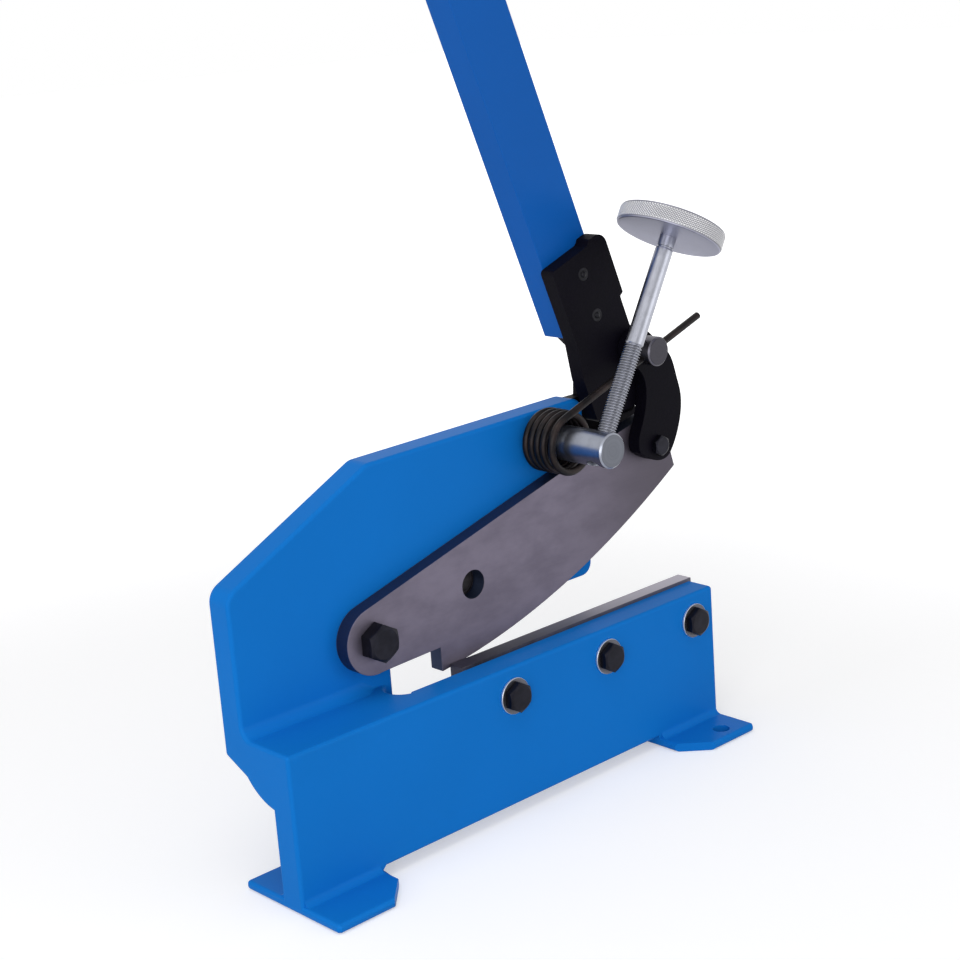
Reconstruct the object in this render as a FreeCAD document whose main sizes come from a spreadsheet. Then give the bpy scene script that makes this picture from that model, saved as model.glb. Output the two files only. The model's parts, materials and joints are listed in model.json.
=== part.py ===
import FreeCAD, Part
import math
import os
import Sketcher

# Hand lever shear for sheet and small bar, on a bench-mounted bed.
# X runs along the bed, -Y is the working side, Z is up from the bench.
# The origin lies on the bench, under the middle of the left foot and of the beam.

os.makedirs("parts", exist_ok=True)
doc = FreeCAD.newDocument("hand_lever_shear")

SIZES = {
    # bed
    "bed_length": 375.0,
    "beam_thickness": 20.0,
    "beam_top": 101.5,
    "beam_relief": 1.5,
    "foot_thickness": 6.0,
    "foot_length": 62.0,
    "foot_front": 34.0,
    "foot_back": 37.0,
    "foot_inner_corner": 20.0,
    "foot_outer_corner": 2.0,
    "foot_hole_radius": 6.0,
    "foot_hole_inset": 22.0,
    "front_hole_offset": 22.0,
    "back_hole_offset": 20.0,
    # joining block between the beam and the frame plate
    "block_length": 112.0,
    "block_height": 39.0,
    "block_rise": 14.5,
    "block_sag": 2.5,
    "block_hollow": 9.0,
    # frame plate
    "plate_thickness": 20.0,
    "plate_bevel": 9.5,
    "head_rise": 19.9,
    "head_overhang": 40.8,
    "crest_x": 112.0,
    "crest_drop": 3.5,
    "shoulder_drop": 58.5,
    "throat_x": 117.0,
    "throat_height": 21.5,
    "plate_corner": 12.0,
    "head_corner": 9.0,
    # lower blade
    "lower_blade_thickness": 12.0,
    "lower_blade_start": 155.0,
    "lower_blade_rise": 2.3,
    "lower_blade_depth": 48.0,
    "blade_bolt_first_inset": 24.5,
    "blade_bolt_last_inset": 21.5,
    "blade_bolt_drop": 19.5,
    "blade_bolt_radius": 6.0,
    "blade_bolt_flats": 18.0,
    "blade_bolt_head": 5.5,
    "blade_bolt_bite": 10.8,
    "blade_washer_radius": 12.0,
    "blade_washer_thickness": 2.0,
    # upper blade
    "upper_blade_thickness": 11.2,
    "blade_pivot_x": 97.0,
    "blade_pivot_rise": 35.5,
    "blade_pivot_radius": 8.0,
    "blade_end_radius": 22.0,
    "heel_x": 149.0,
    "heel_drop": 1.0,
    "heel_undercut": 1.5,
    "tip_overhang": 1.8,
    "tip_rise": 83.2,
    "edge_straightness": 0.325,
    "ear_radius": 19.5,
    "shoulder_setback": 36.0,
    "shoulder_lift": 12.0,
    "pivot_bolt_flats": 22.0,
    "pivot_bolt_head": 10.0,
    "pivot_bolt_tail": 3.0,
    "pivot_nut_height": 12.0,
    "pivot_washer_radius": 16.0,
    "pivot_washer_thickness": 3.0,
    "rod_hole_along": 83.5,
    "rod_hole_rise": 13.5,
    "rod_hole_radius": 9.5,
    "rod_bush_bore": 8.0,
    "rod_bush_radius": 14.0,
    # fulcrum shaft
    "lever_arm": 90.3,
    "shaft_rise": 127.1,
    "shaft_radius": 11.7,
    "shaft_reach": 66.0,
    "journal_radius": 8.0,
    "shaft_nut_height": 8.0,
    "shaft_nut_flats": 24.0,
    "shaft_tail": 2.0,
    # return spring
    "spring_wire_radius": 2.5,
    "spring_radius": 19.0,
    "spring_turns": 4.0,
    "spring_pitch": 5.4,
    "spring_leg_overhang": 53.0,
    "spring_leg_drop": 1.4,
    # lever
    "bar_angle": 20.2,
    "bar_width": 44.0,
    "bar_length": 520.0,
    "bar_foot_setback": 28.3,
    "bar_foot_rise": 21.1,
    "bar_foot_edge": 1.5,
    "bar_top_edge": 3.0,
    "socket_wall": 11.4,
    "socket_top": 53.5,
    "socket_lip_rise": 3.0,
    "socket_lip_start": 14.0,
    "socket_left_margin": 3.0,
    "socket_right_margin": 6.5,
    "socket_lip_bottom": 9.0,
    "socket_lip_step": 3.5,
    "socket_waist": 15.0,
    "socket_flare": 4.5,
    "socket_flare_drop": 26.0,
    "socket_skirt_margin": 5.2,
    "socket_sweep": 38.0,
    "socket_curve": 18.0,
    "bridge_top": 34.0,
    "bridge_inset": 1.0,
    "bridge_setback": 23.0,
    "bridge_drop": 34.0,
    "cheek_margin": 8.5,
    "cheek_setback": 7.5,
    "cheek_waist": 8.0,
    "stud_boss_wall": 4.5,
    "arm_thickness": 10.0,
    "arm_eye_wall": 6.0,
    "arm_boss_wall": 5.0,
    "arm_elbow": 21.0,
    "arm_spread": 24.0,
    "arm_heel": 20.0,
    "arm_half_width": 9.0,
    "arm_margin": 10.0,
    "arm_shoulder": 10.0,
    "socket_screw_radius": 3.5,
    "socket_screw_head_radius": 4.5,
    "socket_screw_head": 1.5,
    "socket_screw_high": 38.5,
    "socket_screw_low": 7.5,
    # link between lever and blade
    "stud_setback": 12.0,
    "stud_rise": 174.8,
    "stud_radius": 10.0,
    "stud_reach": 15.7,
    "link_thickness": 10.0,
    "link_eye_wall": 3.5,
    "link_belly": 36.0,
    "link_bolt_inset": 24.5,
    "link_bolt_rise": 105.0,
    "link_bolt_radius": 5.0,
    "link_bolt_flats": 13.0,
    "link_bolt_head": 4.0,
    "link_bolt_play": 5.0,
    "link_bolt_tail": 2.0,
    "link_nut_height": 8.0,
    "link_washer_radius": 13.5,
    "link_washer_thickness": 2.0,
    # hold-down
    "hold_down_angle": 30.3,
    "hold_down_inset": 11.0,
    "hold_down_screw_radius": 6.0,
    "hold_down_screw_tail": 5.0,
    "hold_down_neck_radius": 5.2,
    "hold_down_neck_length": 12.0,
    "hold_down_wheel_height": 146.5,
    "hold_down_wheel_radius": 36.0,
    "hold_down_wheel_rim": 12.0,
    "hold_down_wheel_edge": 1.2,
    # fits
    "slide_gap": 0.3,
    "plate_gap": 0.5,
    "pin_fit": 0.05,
    "side_play": 0.6,
    "bridge_fit": 0.3,
}

sheet = doc.addObject("Spreadsheet::Sheet", "sizes")
for row, (alias, number) in enumerate(SIZES.items(), start=1):
    sheet.set("A%d" % row, alias)
    sheet.set("B%d" % row, str(number))
    sheet.setAlias("B%d" % row, alias)
doc.recompute()


def size(alias):
    """The number in one cell of the sheet."""
    return float(sheet.get(alias))


def plus(*formulas):
    return " + ".join("(%s)" % formula for formula in formulas)


def minus(formula, *others):
    return "(%s)" % formula + "".join(" - (%s)" % other for other in others)


# Planes across the shear, front to back, as formulas on the sheet
BEAM_FRONT = "-sizes.beam_thickness / 2"
BEAM_BACK = "sizes.beam_thickness / 2"
LOWER_BACK = plus(BEAM_BACK, "sizes.lower_blade_thickness")
UPPER_BACK = plus(LOWER_BACK, "sizes.slide_gap", "sizes.upper_blade_thickness")
PLATE_FRONT = plus(UPPER_BACK, "sizes.plate_gap")
PLATE_BACK = plus(PLATE_FRONT, "sizes.plate_thickness")
SOCKET_BACK = minus(PLATE_FRONT, "sizes.side_play")
SOCKET_FRONT = minus(SOCKET_BACK, "sizes.socket_wall")
ARM_FRONT = plus(PLATE_BACK, "sizes.side_play")
ARM_BACK = plus(ARM_FRONT, "sizes.arm_thickness")
LINK_BACK = minus(SOCKET_FRONT, "sizes.slide_gap")
LINK_FRONT = minus(LINK_BACK, "sizes.link_thickness")

# The same planes as numbers
BEAM_FRONT_Y = -size("beam_thickness") / 2
BEAM_BACK_Y = size("beam_thickness") / 2
PLATE_FRONT_Y = (BEAM_BACK_Y + size("lower_blade_thickness") + size("slide_gap")
                 + size("upper_blade_thickness") + size("plate_gap"))
PLATE_BACK_Y = PLATE_FRONT_Y + size("plate_thickness")
HOLD_DOWN_Y = PLATE_FRONT_Y - size("shaft_reach") + size("hold_down_inset")

# Places along the bed: the link, stud and shaft are set out from the bed's right end
LEFT = -size("foot_length") / 2
RIGHT = LEFT + size("bed_length")
TOP = size("beam_top")
BLADE_PIVOT = (LEFT + size("blade_pivot_x"), TOP + size("blade_pivot_rise"))
ROD_HOLE = (BLADE_PIVOT[0] + size("rod_hole_along"), BLADE_PIVOT[1] + size("rod_hole_rise"))
LINK_BOLT = (RIGHT - size("link_bolt_inset"), TOP + size("link_bolt_rise"))
STUD = (LINK_BOLT[0] - size("stud_setback"), TOP + size("stud_rise"))
SHAFT = (LINK_BOLT[0] - size("lever_arm"), TOP + size("shaft_rise"))
BAR_FOOT = (STUD[0] - size("bar_foot_setback"), STUD[1] + size("bar_foot_rise"))
PLATE_RIGHT = SHAFT[0] + size("head_overhang")
PLATE_TOP = SHAFT[1] + size("head_rise")
BLOCK_FRONT_BOTTOM = TOP - size("block_height")
BLOCK_BACK_BOTTOM = BLOCK_FRONT_BOTTOM + size("block_rise")


def vector(point):
    return FreeCAD.Vector(point[0], point[1], 0)


def polar(centre, radius, degrees):
    """A point at a bearing from a centre, counted from +X toward +Z."""
    angle = math.radians(degrees)
    return (centre[0] + radius * math.cos(angle), centre[1] + radius * math.sin(angle))


def bearing(start, end):
    return math.degrees(math.atan2(end[1] - start[1], end[0] - start[0]))


def distance(start, end):
    return math.hypot(end[0] - start[0], end[1] - start[1])


def tangent_from(outside, centre, radius, side):
    """Where the line from a point outside touches a circle; side is 1 or -1."""
    opening = math.degrees(math.acos(radius / distance(centre, outside)))
    return polar(centre, radius, bearing(centre, outside) + side * opening)


# Outlines are lists of stretches: ("line", a, b), ("arc", a, middle, b) or ("curve", points)
def rounded_polygon(corners):
    """Stretches of a closed polygon; each corner is (point, rounding radius)."""
    count = len(corners)
    ends = []
    for index in range(count):
        before = vector(corners[index - 1][0])
        here = vector(corners[index][0])
        after = vector(corners[(index + 1) % count][0])
        radius = corners[index][1]
        to_before = (before - here).normalize()
        to_after = (after - here).normalize()
        if radius <= 0:
            ends.append((here, None, here))
            continue
        half = to_before.getAngle(to_after) / 2
        reach = radius / math.tan(half)
        bisector = (to_before + to_after).normalize()
        centre = here + bisector * (radius / math.sin(half))
        middle = centre - bisector * radius
        ends.append((here + to_before * reach, middle, here + to_after * reach))
    stretches = []
    for index in range(count):
        start, middle, end = ends[index]
        if middle is not None:
            stretches.append(("arc", (start.x, start.y), (middle.x, middle.y), (end.x, end.y)))
        following = ends[(index + 1) % count][0]
        if (following - end).Length > 1e-6:
            stretches.append(("line", (end.x, end.y), (following.x, following.y)))
    return stretches


def polygon(points):
    return rounded_polygon([(point, 0) for point in points])


def draw(sketch, stretches):
    for stretch in stretches:
        kind, points = stretch[0], stretch[1:]
        if kind == "line":
            sketch.addGeometry(Part.LineSegment(vector(points[0]), vector(points[1])))
        elif kind == "arc":
            sketch.addGeometry(Part.Arc(*[vector(point) for point in points]))
        else:
            curve = Part.BSplineCurve()
            curve.interpolate([vector(point) for point in points[0]])
            sketch.addGeometry(curve)


def origin_plane(body, role):
    for feature in body.Origin.OriginFeatures:
        if feature.Role == role:
            return feature
    raise ValueError(role)


def new_body(label):
    body = doc.addObject("PartDesign::Body", label)
    body.Label = label
    return body


def new_sketch(body, role, offset_formula):
    sketch = body.newObject("Sketcher::SketchObject", body.Name + "_sketch")
    sketch.AttachmentSupport = [(origin_plane(body, role), "")]
    sketch.MapMode = "FlatFace"
    sketch.setExpression("AttachmentOffset.Base.z", offset_formula)
    return sketch


def add_circle(sketch, centre, formula):
    """A round hole or disc whose radius is bound to a formula on the sheet."""
    index = sketch.addGeometry(Part.Circle(vector(centre), FreeCAD.Vector(0, 0, 1), 1.0))
    constraint = sketch.addConstraint(Sketcher.Constraint("Radius", index, 1.0))
    sketch.setExpression("Constraints[%d]" % constraint, formula)


def add_hexagon(sketch, centre, flats, turn):
    corner = flats / math.sqrt(3)
    points = [polar(centre, corner, turn + 60 * step) for step in range(6)]
    draw(sketch, polygon(points))


def pad(body, sketch, length_formula):
    feature = body.newObject("PartDesign::Pad", body.Name + "_pad")
    feature.Profile = sketch
    feature.setExpression("Length", length_formula)
    sketch.Visibility = False
    return feature


def pocket(body, sketch, length_formula, backward=False):
    feature = body.newObject("PartDesign::Pocket", body.Name + "_pocket")
    feature.Profile = sketch
    feature.Reversed = backward
    feature.setExpression("Length", length_formula)
    sketch.Visibility = False
    return feature


def slab(body, back, thickness, stretches, holes=()):
    """A flat piece of the side view, padded from its back plane toward the working side."""
    sketch = new_sketch(body, "XZ_Plane", "-(%s)" % back)
    draw(sketch, stretches)
    for centre, formula in holes:
        add_circle(sketch, centre, formula)
    return pad(body, sketch, thickness)


def round_bar(body, back, front, centre, radius, bore=None):
    """A round bar or ring between two planes across the shear."""
    sketch = new_sketch(body, "XZ_Plane", "-(%s)" % back)
    add_circle(sketch, centre, radius)
    if bore:
        add_circle(sketch, centre, bore)
    return pad(body, sketch, minus(back, front))


def hex_bar(body, back, front, centre, flats, bore=None, turn=30):
    sketch = new_sketch(body, "XZ_Plane", "-(%s)" % back)
    add_hexagon(sketch, centre, flats, turn)
    if bore:
        add_circle(sketch, centre, bore)
    return pad(body, sketch, minus(back, front))


def running(radius):
    """The bore that a pin of a named radius runs in."""
    return plus("sizes." + radius, "sizes.pin_fit")


# Blade bolts are spread evenly between the ends of the lower blade
def blade_bolt_places():
    first = LEFT + size("lower_blade_start") + size("blade_bolt_first_inset")
    last = RIGHT - size("blade_bolt_last_inset")
    height = TOP - size("blade_bolt_drop")
    return [(first + share * (last - first), height) for share in (0, 0.5, 1)]


# Bed beam with its shallow relief between the feet
def make_bed_beam():
    body = new_body("bed_beam")
    foot, low, relief = size("foot_length"), size("foot_thickness"), size("beam_relief")
    outline = polygon([
        (LEFT, low), (LEFT + foot, low), (LEFT + foot, low + relief),
        (RIGHT - foot, low + relief), (RIGHT - foot, low), (RIGHT, low), (RIGHT, TOP), (LEFT, TOP),
    ])
    holes = [(place, running("blade_bolt_radius")) for place in blade_bolt_places()]
    slab(body, BEAM_BACK, "sizes.beam_thickness", outline, holes)


# Feet: flat plates under both ends, cornered in front, each with one bolt hole
def make_foot(label, outer_x, inward, hole_y, outer_corner):
    body = new_body(label)
    front = BEAM_FRONT_Y - size("foot_front")
    back = BEAM_BACK_Y + size("foot_back")
    corner = size("foot_inner_corner")
    inner_x = outer_x + inward * size("foot_length")
    outline = polygon([
        (outer_x, back), (outer_x, front + outer_corner),
        (outer_x + inward * outer_corner, front), (inner_x - inward * corner, front),
        (inner_x, front + corner), (inner_x, back),
    ])
    sketch = new_sketch(body, "XY_Plane", "0")
    draw(sketch, outline)
    add_circle(sketch, (outer_x + inward * size("foot_hole_inset"), hole_y),
               "sizes.foot_hole_radius")
    pad(body, sketch, "sizes.foot_thickness")


# Block that joins the beam to the frame plate, bowed below and hollowed at its free end
def make_joining_block():
    body = new_body("joining_block")
    sketch = new_sketch(body, "YZ_Plane", "-sizes.foot_length / 2")
    front, back = (BEAM_BACK_Y, BLOCK_FRONT_BOTTOM), (PLATE_FRONT_Y, BLOCK_BACK_BOTTOM)
    middle = ((front[0] + back[0]) / 2, (front[1] + back[1]) / 2)
    bow = polar(middle, size("block_sag"), bearing(front, back) - 90)
    draw(sketch, [
        ("arc", front, bow, back),
        ("line", back, (PLATE_FRONT_Y, TOP)),
        ("line", (PLATE_FRONT_Y, TOP), (BEAM_BACK_Y, TOP)),
        ("line", (BEAM_BACK_Y, TOP), front),
    ])
    pad(body, sketch, "sizes.block_length")
    end = LEFT + size("block_length")
    cut = new_sketch(body, "XY_Plane", "sizes.beam_top")
    draw(cut, [
        ("arc", (end, PLATE_FRONT_Y), (end - size("block_hollow"), middle[0]),
         (end, BEAM_BACK_Y)),
        ("line", (end, BEAM_BACK_Y), (end, PLATE_FRONT_Y)),
    ])
    pocket(body, cut, "sizes.beam_top")


# Frame plate: carries the blade pivot, the rod bush and the fulcrum shaft
def make_frame_plate():
    body = new_body("frame_plate")
    corner, head = size("plate_corner"), size("head_corner")
    throat_top = TOP + size("throat_height")
    throat_x = LEFT + size("throat_x")
    outline = rounded_polygon([
        ((LEFT, BLOCK_BACK_BOTTOM), 0),
        ((LEFT, PLATE_TOP - size("shoulder_drop")), corner),
        ((LEFT + size("crest_x"), PLATE_TOP - size("crest_drop")), corner),
        ((PLATE_RIGHT, PLATE_TOP), head),
        ((PLATE_RIGHT, throat_top), head),
        ((throat_x, throat_top), head),
        ((throat_x, BLOCK_BACK_BOTTOM), 0),
    ])
    holes = [(BLADE_PIVOT, running("blade_pivot_radius")),
             (ROD_HOLE, running("rod_bush_radius")), (SHAFT, running("shaft_radius"))]
    slab(body, PLATE_BACK, "sizes.plate_thickness", outline, holes)
    wedge = new_sketch(body, "YZ_Plane", "-sizes.foot_length / 2")
    draw(wedge, polygon([
        (PLATE_FRONT_Y, BLOCK_BACK_BOTTOM), (PLATE_BACK_Y, BLOCK_BACK_BOTTOM),
        (PLATE_BACK_Y, BLOCK_BACK_BOTTOM + size("plate_bevel")),
    ]))
    pocket(body, wedge, "sizes.bed_length", backward=True)


# Lower blade: a straight bar bolted behind the beam
def make_lower_blade():
    body = new_body("lower_blade")
    left = LEFT + size("lower_blade_start")
    top = TOP + size("lower_blade_rise")
    low = top - size("lower_blade_depth")
    outline = polygon([(left, low), (RIGHT, low), (RIGHT, top), (left, top)])
    holes = [(place, running("blade_bolt_radius")) for place in blade_bolt_places()]
    slab(body, LOWER_BACK, "sizes.lower_blade_thickness", outline, holes)


def make_blade_bolts():
    seat = minus(BEAM_FRONT, "sizes.blade_washer_thickness")
    for side, place in zip(("left", "middle", "right"), blade_bolt_places()):
        washer = new_body("blade_washer_" + side)
        round_bar(washer, BEAM_FRONT, seat, place, "sizes.blade_washer_radius",
                  running("blade_bolt_radius"))
        bolt = new_body("blade_bolt_" + side)
        hex_bar(bolt, seat, minus(seat, "sizes.blade_bolt_head"), place, size("blade_bolt_flats"))
        round_bar(bolt, plus(BEAM_BACK, "sizes.blade_bolt_bite"), seat, place,
                  "sizes.blade_bolt_radius")


# Upper blade: round eye at the pivot, straight back, bowed cutting edge and an ear for the link
def cutting_edge():
    """Points of the bowed edge, from the heel to the tip."""
    heel = (LEFT + size("heel_x"), TOP - size("heel_drop"))
    tip = (RIGHT + size("tip_overhang"), TOP + size("tip_rise"))
    straight = size("edge_straightness")
    points = []
    for step in range(9):
        share = step / 8
        climb = straight * share + (1 - straight) * share ** 2
        points.append((heel[0] + share * (tip[0] - heel[0]), heel[1] + climb * (tip[1] - heel[1])))
    return points


def make_upper_blade():
    body = new_body("upper_blade")
    eye, ear = size("blade_end_radius"), size("ear_radius")
    edge = cutting_edge()
    shoulder = (LINK_BOLT[0] - size("shoulder_setback"), LINK_BOLT[1] + size("shoulder_lift"))
    back_start = tangent_from(shoulder, BLADE_PIVOT, eye, 1)
    ear_left = tangent_from(shoulder, LINK_BOLT, ear, -1)
    ear_right = polar(LINK_BOLT, ear, 10)
    eye_bottom = polar(BLADE_PIVOT, eye, -80)
    heel_top = (edge[0][0], eye_bottom[1] + size("heel_undercut"))
    outline = [
        ("line", back_start, shoulder),
        ("line", shoulder, ear_left),
        ("arc", ear_left, polar(LINK_BOLT, ear, 60), ear_right),
        ("line", ear_right, edge[-1]),
        ("curve", edge),
        ("line", edge[0], heel_top),
        ("line", heel_top, eye_bottom),
        ("arc", eye_bottom, polar(BLADE_PIVOT, eye, 190), back_start),
    ]
    holes = [
        (BLADE_PIVOT, running("blade_pivot_radius")),
        (ROD_HOLE, "sizes.rod_hole_radius"),
        (LINK_BOLT, plus("sizes.link_bolt_radius", "sizes.link_bolt_play")),
    ]
    slab(body, UPPER_BACK, "sizes.upper_blade_thickness", outline, holes)


def make_pivot_bolt():
    bolt = new_body("pivot_bolt")
    head_front = minus(LOWER_BACK, "sizes.pivot_bolt_head")
    hex_bar(bolt, LOWER_BACK, head_front, BLADE_PIVOT, size("pivot_bolt_flats"))
    washer_back = plus(PLATE_BACK, "sizes.pivot_washer_thickness")
    nut_back = plus(washer_back, "sizes.pivot_nut_height")
    round_bar(bolt, plus(nut_back, "sizes.pivot_bolt_tail"), LOWER_BACK, BLADE_PIVOT,
              "sizes.blade_pivot_radius")
    washer = new_body("pivot_washer")
    round_bar(washer, washer_back, PLATE_BACK, BLADE_PIVOT, "sizes.pivot_washer_radius",
              running("blade_pivot_radius"))
    nut = new_body("pivot_nut")
    hex_bar(nut, nut_back, washer_back, BLADE_PIVOT, size("pivot_bolt_flats"),
            running("blade_pivot_radius"))


def make_rod_bush():
    bush = new_body("rod_bush")
    round_bar(bush, PLATE_BACK, PLATE_FRONT, ROD_HOLE, "sizes.rod_bush_radius",
              "sizes.rod_bush_bore")


# Hold-down axis: leans from the shaft's middle, in a plane near the shaft's free end
def on_hold_down(up):
    """Placement on the hold-down's axis, a distance up from the shaft's middle."""
    lean = size("hold_down_angle")
    angle = math.radians(lean)
    base = FreeCAD.Vector(SHAFT[0] + up * math.sin(angle), HOLD_DOWN_Y,
                          SHAFT[1] + up * math.cos(angle))
    return FreeCAD.Placement(base, FreeCAD.Rotation(FreeCAD.Vector(0, 1, 0), lean))


def leaning_cylinder(label, radius, height, up):
    rod = doc.addObject("Part::Cylinder", label)
    rod.Label = label
    rod.setExpression("Radius", radius)
    rod.setExpression("Height", height)
    rod.Placement = on_hold_down(up)
    return rod


def cut_from(base, tool, label):
    result = doc.addObject("Part::Cut", label + "_cut")
    result.Base = base
    result.Tool = tool
    base.Label = label + "_blank"
    result.Label = label
    return result


# Fulcrum shaft: thick in front with a cross bore, thinner where the lever's arm turns
def make_fulcrum_shaft():
    body = new_body("fulcrum_shaft")
    shoulder = plus(PLATE_BACK, "sizes.slide_gap")
    nut_front = plus(ARM_BACK, "sizes.slide_gap")
    nut_back = plus(nut_front, "sizes.shaft_nut_height")
    round_bar(body, shoulder, minus(PLATE_FRONT, "sizes.shaft_reach"), SHAFT,
              "sizes.shaft_radius")
    round_bar(body, plus(nut_back, "sizes.shaft_tail"), shoulder, SHAFT, "sizes.journal_radius")
    bore = leaning_cylinder("shaft_cross_bore", running("hold_down_screw_radius"),
                            "4 * sizes.shaft_radius", -2 * size("shaft_radius"))
    cut_from(body, bore, "fulcrum_shaft")
    nut = new_body("shaft_nut")
    hex_bar(nut, nut_back, nut_front, SHAFT, size("shaft_nut_flats"), running("journal_radius"),
            turn=0)


# Hold-down: long screw with a narrower neck that carries the wheel
def make_hold_down():
    height = size("hold_down_wheel_height")
    rod = leaning_cylinder(
        "hold_down_rod", "sizes.hold_down_screw_radius",
        "sizes.hold_down_screw_tail + sizes.hold_down_wheel_height - sizes.hold_down_neck_length",
        -size("hold_down_screw_tail"))
    neck = leaning_cylinder(
        "hold_down_neck", "sizes.hold_down_neck_radius",
        "sizes.hold_down_neck_length + sizes.hold_down_wheel_rim",
        height - size("hold_down_neck_length"))
    screw = doc.addObject("Part::Fuse", "hold_down_screw")
    screw.Base = rod
    screw.Tool = neck
    screw.Label = "hold_down_screw"
    disc = leaning_cylinder("wheel_disc", "sizes.hold_down_wheel_radius",
                            "sizes.hold_down_wheel_rim", height)
    rim = doc.addObject("Part::Chamfer", "wheel_rim")
    rim.Base = disc
    edge = size("hold_down_wheel_edge")
    rim.Edges = [(1, edge, edge), (3, edge, edge)]
    hole = leaning_cylinder("wheel_hole", running("hold_down_neck_radius"),
                            "3 * sizes.hold_down_wheel_rim", height - size("hold_down_wheel_rim"))
    cut_from(rim, hole, "hold_down_wheel")


# Return spring: the coil stays with the frame, its last turn and leg go with the lever
LEG_HOLE = (STUD[0], STUD[1] - size("spring_leg_drop"))


def leg_slope():
    """Bearing of the line that leaves the coil's top and runs through the stud."""
    opening = math.degrees(math.asin(size("spring_radius") / distance(SHAFT, LEG_HOLE)))
    return bearing(SHAFT, LEG_HOLE) - opening


def spring_leg_y():
    wire = size("spring_wire_radius")
    coil = size("spring_pitch") * size("spring_turns")
    return PLATE_FRONT_Y - coil - 3 * wire - size("slide_gap")


def make_return_spring():
    start = PLATE_FRONT_Y - size("spring_wire_radius")
    helix = doc.addObject("Part::Helix", "spring_helix")
    helix.setExpression("Pitch", "sizes.spring_pitch")
    helix.setExpression("Height", "sizes.spring_pitch * sizes.spring_turns")
    helix.setExpression("Radius", "sizes.spring_radius")
    helix.SegmentLength = 1
    helix.Placement = FreeCAD.Placement(FreeCAD.Vector(SHAFT[0], start, SHAFT[1]),
                                        FreeCAD.Rotation(FreeCAD.Vector(1, 0, 0), 90))
    section = doc.addObject("Part::Circle", "spring_section")
    section.setExpression("Radius", "sizes.spring_wire_radius")
    section.Placement = FreeCAD.Placement(
        FreeCAD.Vector(SHAFT[0] + size("spring_radius"), start, SHAFT[1]), FreeCAD.Rotation())
    coil = doc.addObject("Part::Sweep", "return_spring")
    coil.Sections = [section]
    turns = math.ceil(size("spring_turns"))
    coil.Spine = (helix, ["Edge%d" % turn for turn in range(1, turns + 1)])
    coil.Solid = True
    coil.Frenet = True
    coil.Label = "return_spring"
    helix.Visibility = False
    section.Visibility = False


def make_spring_leg():
    body = new_body("spring_leg")
    radius, slope, depth = size("spring_radius"), leg_slope(), spring_leg_y()
    start = polar(SHAFT, radius, slope + 90)
    reach = distance(start, LEG_HOLE) + size("spring_leg_overhang")
    tip = polar(start, reach, slope)
    path = new_sketch(body, "XZ_Plane", "%f" % -depth)
    draw(path, [
        ("line", tip, start),
        ("arc", start, polar(SHAFT, radius, slope + 240), polar(SHAFT, radius, slope + 390)),
    ])
    profile = body.newObject("Sketcher::SketchObject", "spring_leg_profile")
    profile.Placement = FreeCAD.Placement(
        FreeCAD.Vector(tip[0], depth, tip[1]),
        FreeCAD.Rotation(FreeCAD.Vector(0, 1, 0), 90 - slope))
    add_circle(profile, (0, 0), "sizes.spring_wire_radius")
    pipe = body.newObject("PartDesign::AdditivePipe", "spring_leg_pipe")
    pipe.Profile = profile
    pipe.Spine = (path, [])
    path.Visibility = False
    profile.Visibility = False


# Lever: rectangular bar, forged socket in front of it and the arm behind the frame plate
def bar_point(along, across):
    """A point of the side view on the bar: along from its foot, across toward the right."""
    lean = math.radians(size("bar_angle"))
    return (BAR_FOOT[0] - along * math.sin(lean) + across * math.cos(lean),
            BAR_FOOT[1] + along * math.cos(lean) + across * math.sin(lean))


SOCKET_SCREWS = [bar_point(size("socket_screw_high"), 0), bar_point(size("socket_screw_low"), 0)]


def socket_screw_holes():
    return [(place, running("socket_screw_radius")) for place in SOCKET_SCREWS]


def make_handle_bar():
    body = new_body("handle_bar")
    half, length = size("bar_width") / 2, size("bar_length")
    foot_edge, top_edge = size("bar_foot_edge"), size("bar_top_edge")
    outline = rounded_polygon([
        (bar_point(0, -half), foot_edge), (bar_point(0, half), foot_edge),
        (bar_point(length, half), top_edge), (bar_point(length, -half), top_edge),
    ])
    slab(body, ARM_FRONT, minus(ARM_FRONT, SOCKET_BACK), outline, socket_screw_holes())


def make_handle_socket():
    body = new_body("handle_socket")
    half = size("bar_width") / 2
    top, lip, waist = size("socket_top"), size("socket_lip_bottom"), size("socket_waist")
    lip_top = top + size("socket_lip_rise")
    right = half + size("socket_right_margin")
    inner = right - size("socket_lip_step")
    boss = size("stud_radius") + size("stud_boss_wall")
    left = -half - size("socket_left_margin")
    skirt = LINK_BOLT[1] + size("ear_radius") + size("socket_skirt_margin")
    sweep, curve = size("socket_sweep"), size("socket_curve")
    outline = rounded_polygon([
        (bar_point(top, left), 3),
        (bar_point(top, size("socket_lip_start") - size("socket_lip_rise")), 4),
        (bar_point(lip_top, size("socket_lip_start")), 3),
        (bar_point(lip_top, right), 9),
        (bar_point(lip, right), 1.5),
        (bar_point(lip - 1, inner), 1.5),
        (bar_point(-waist, inner), 3),
        (polar(STUD, 1.15 * boss, 40), 0.6 * boss),
        (polar(STUD, 0.8 * sweep, -30), 0.3 * sweep),
        (polar(STUD, sweep, -62), 4),
        (polar(STUD, 1.06 * sweep, -82), 4),
        ((PLATE_RIGHT + 2, skirt), 4),
        (bar_point(-size("socket_flare_drop"), left - size("socket_flare")), curve),
        (bar_point(0, left), curve),
    ])
    stud_hole = (STUD, running("stud_radius"))
    slab(body, SOCKET_BACK, "sizes.socket_wall", outline, socket_screw_holes() + [stud_hole])
    make_socket_bridge(body, half + size("bridge_fit"), inner - size("bridge_inset"), left, boss)
    make_socket_cheek(body, boss)


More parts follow.
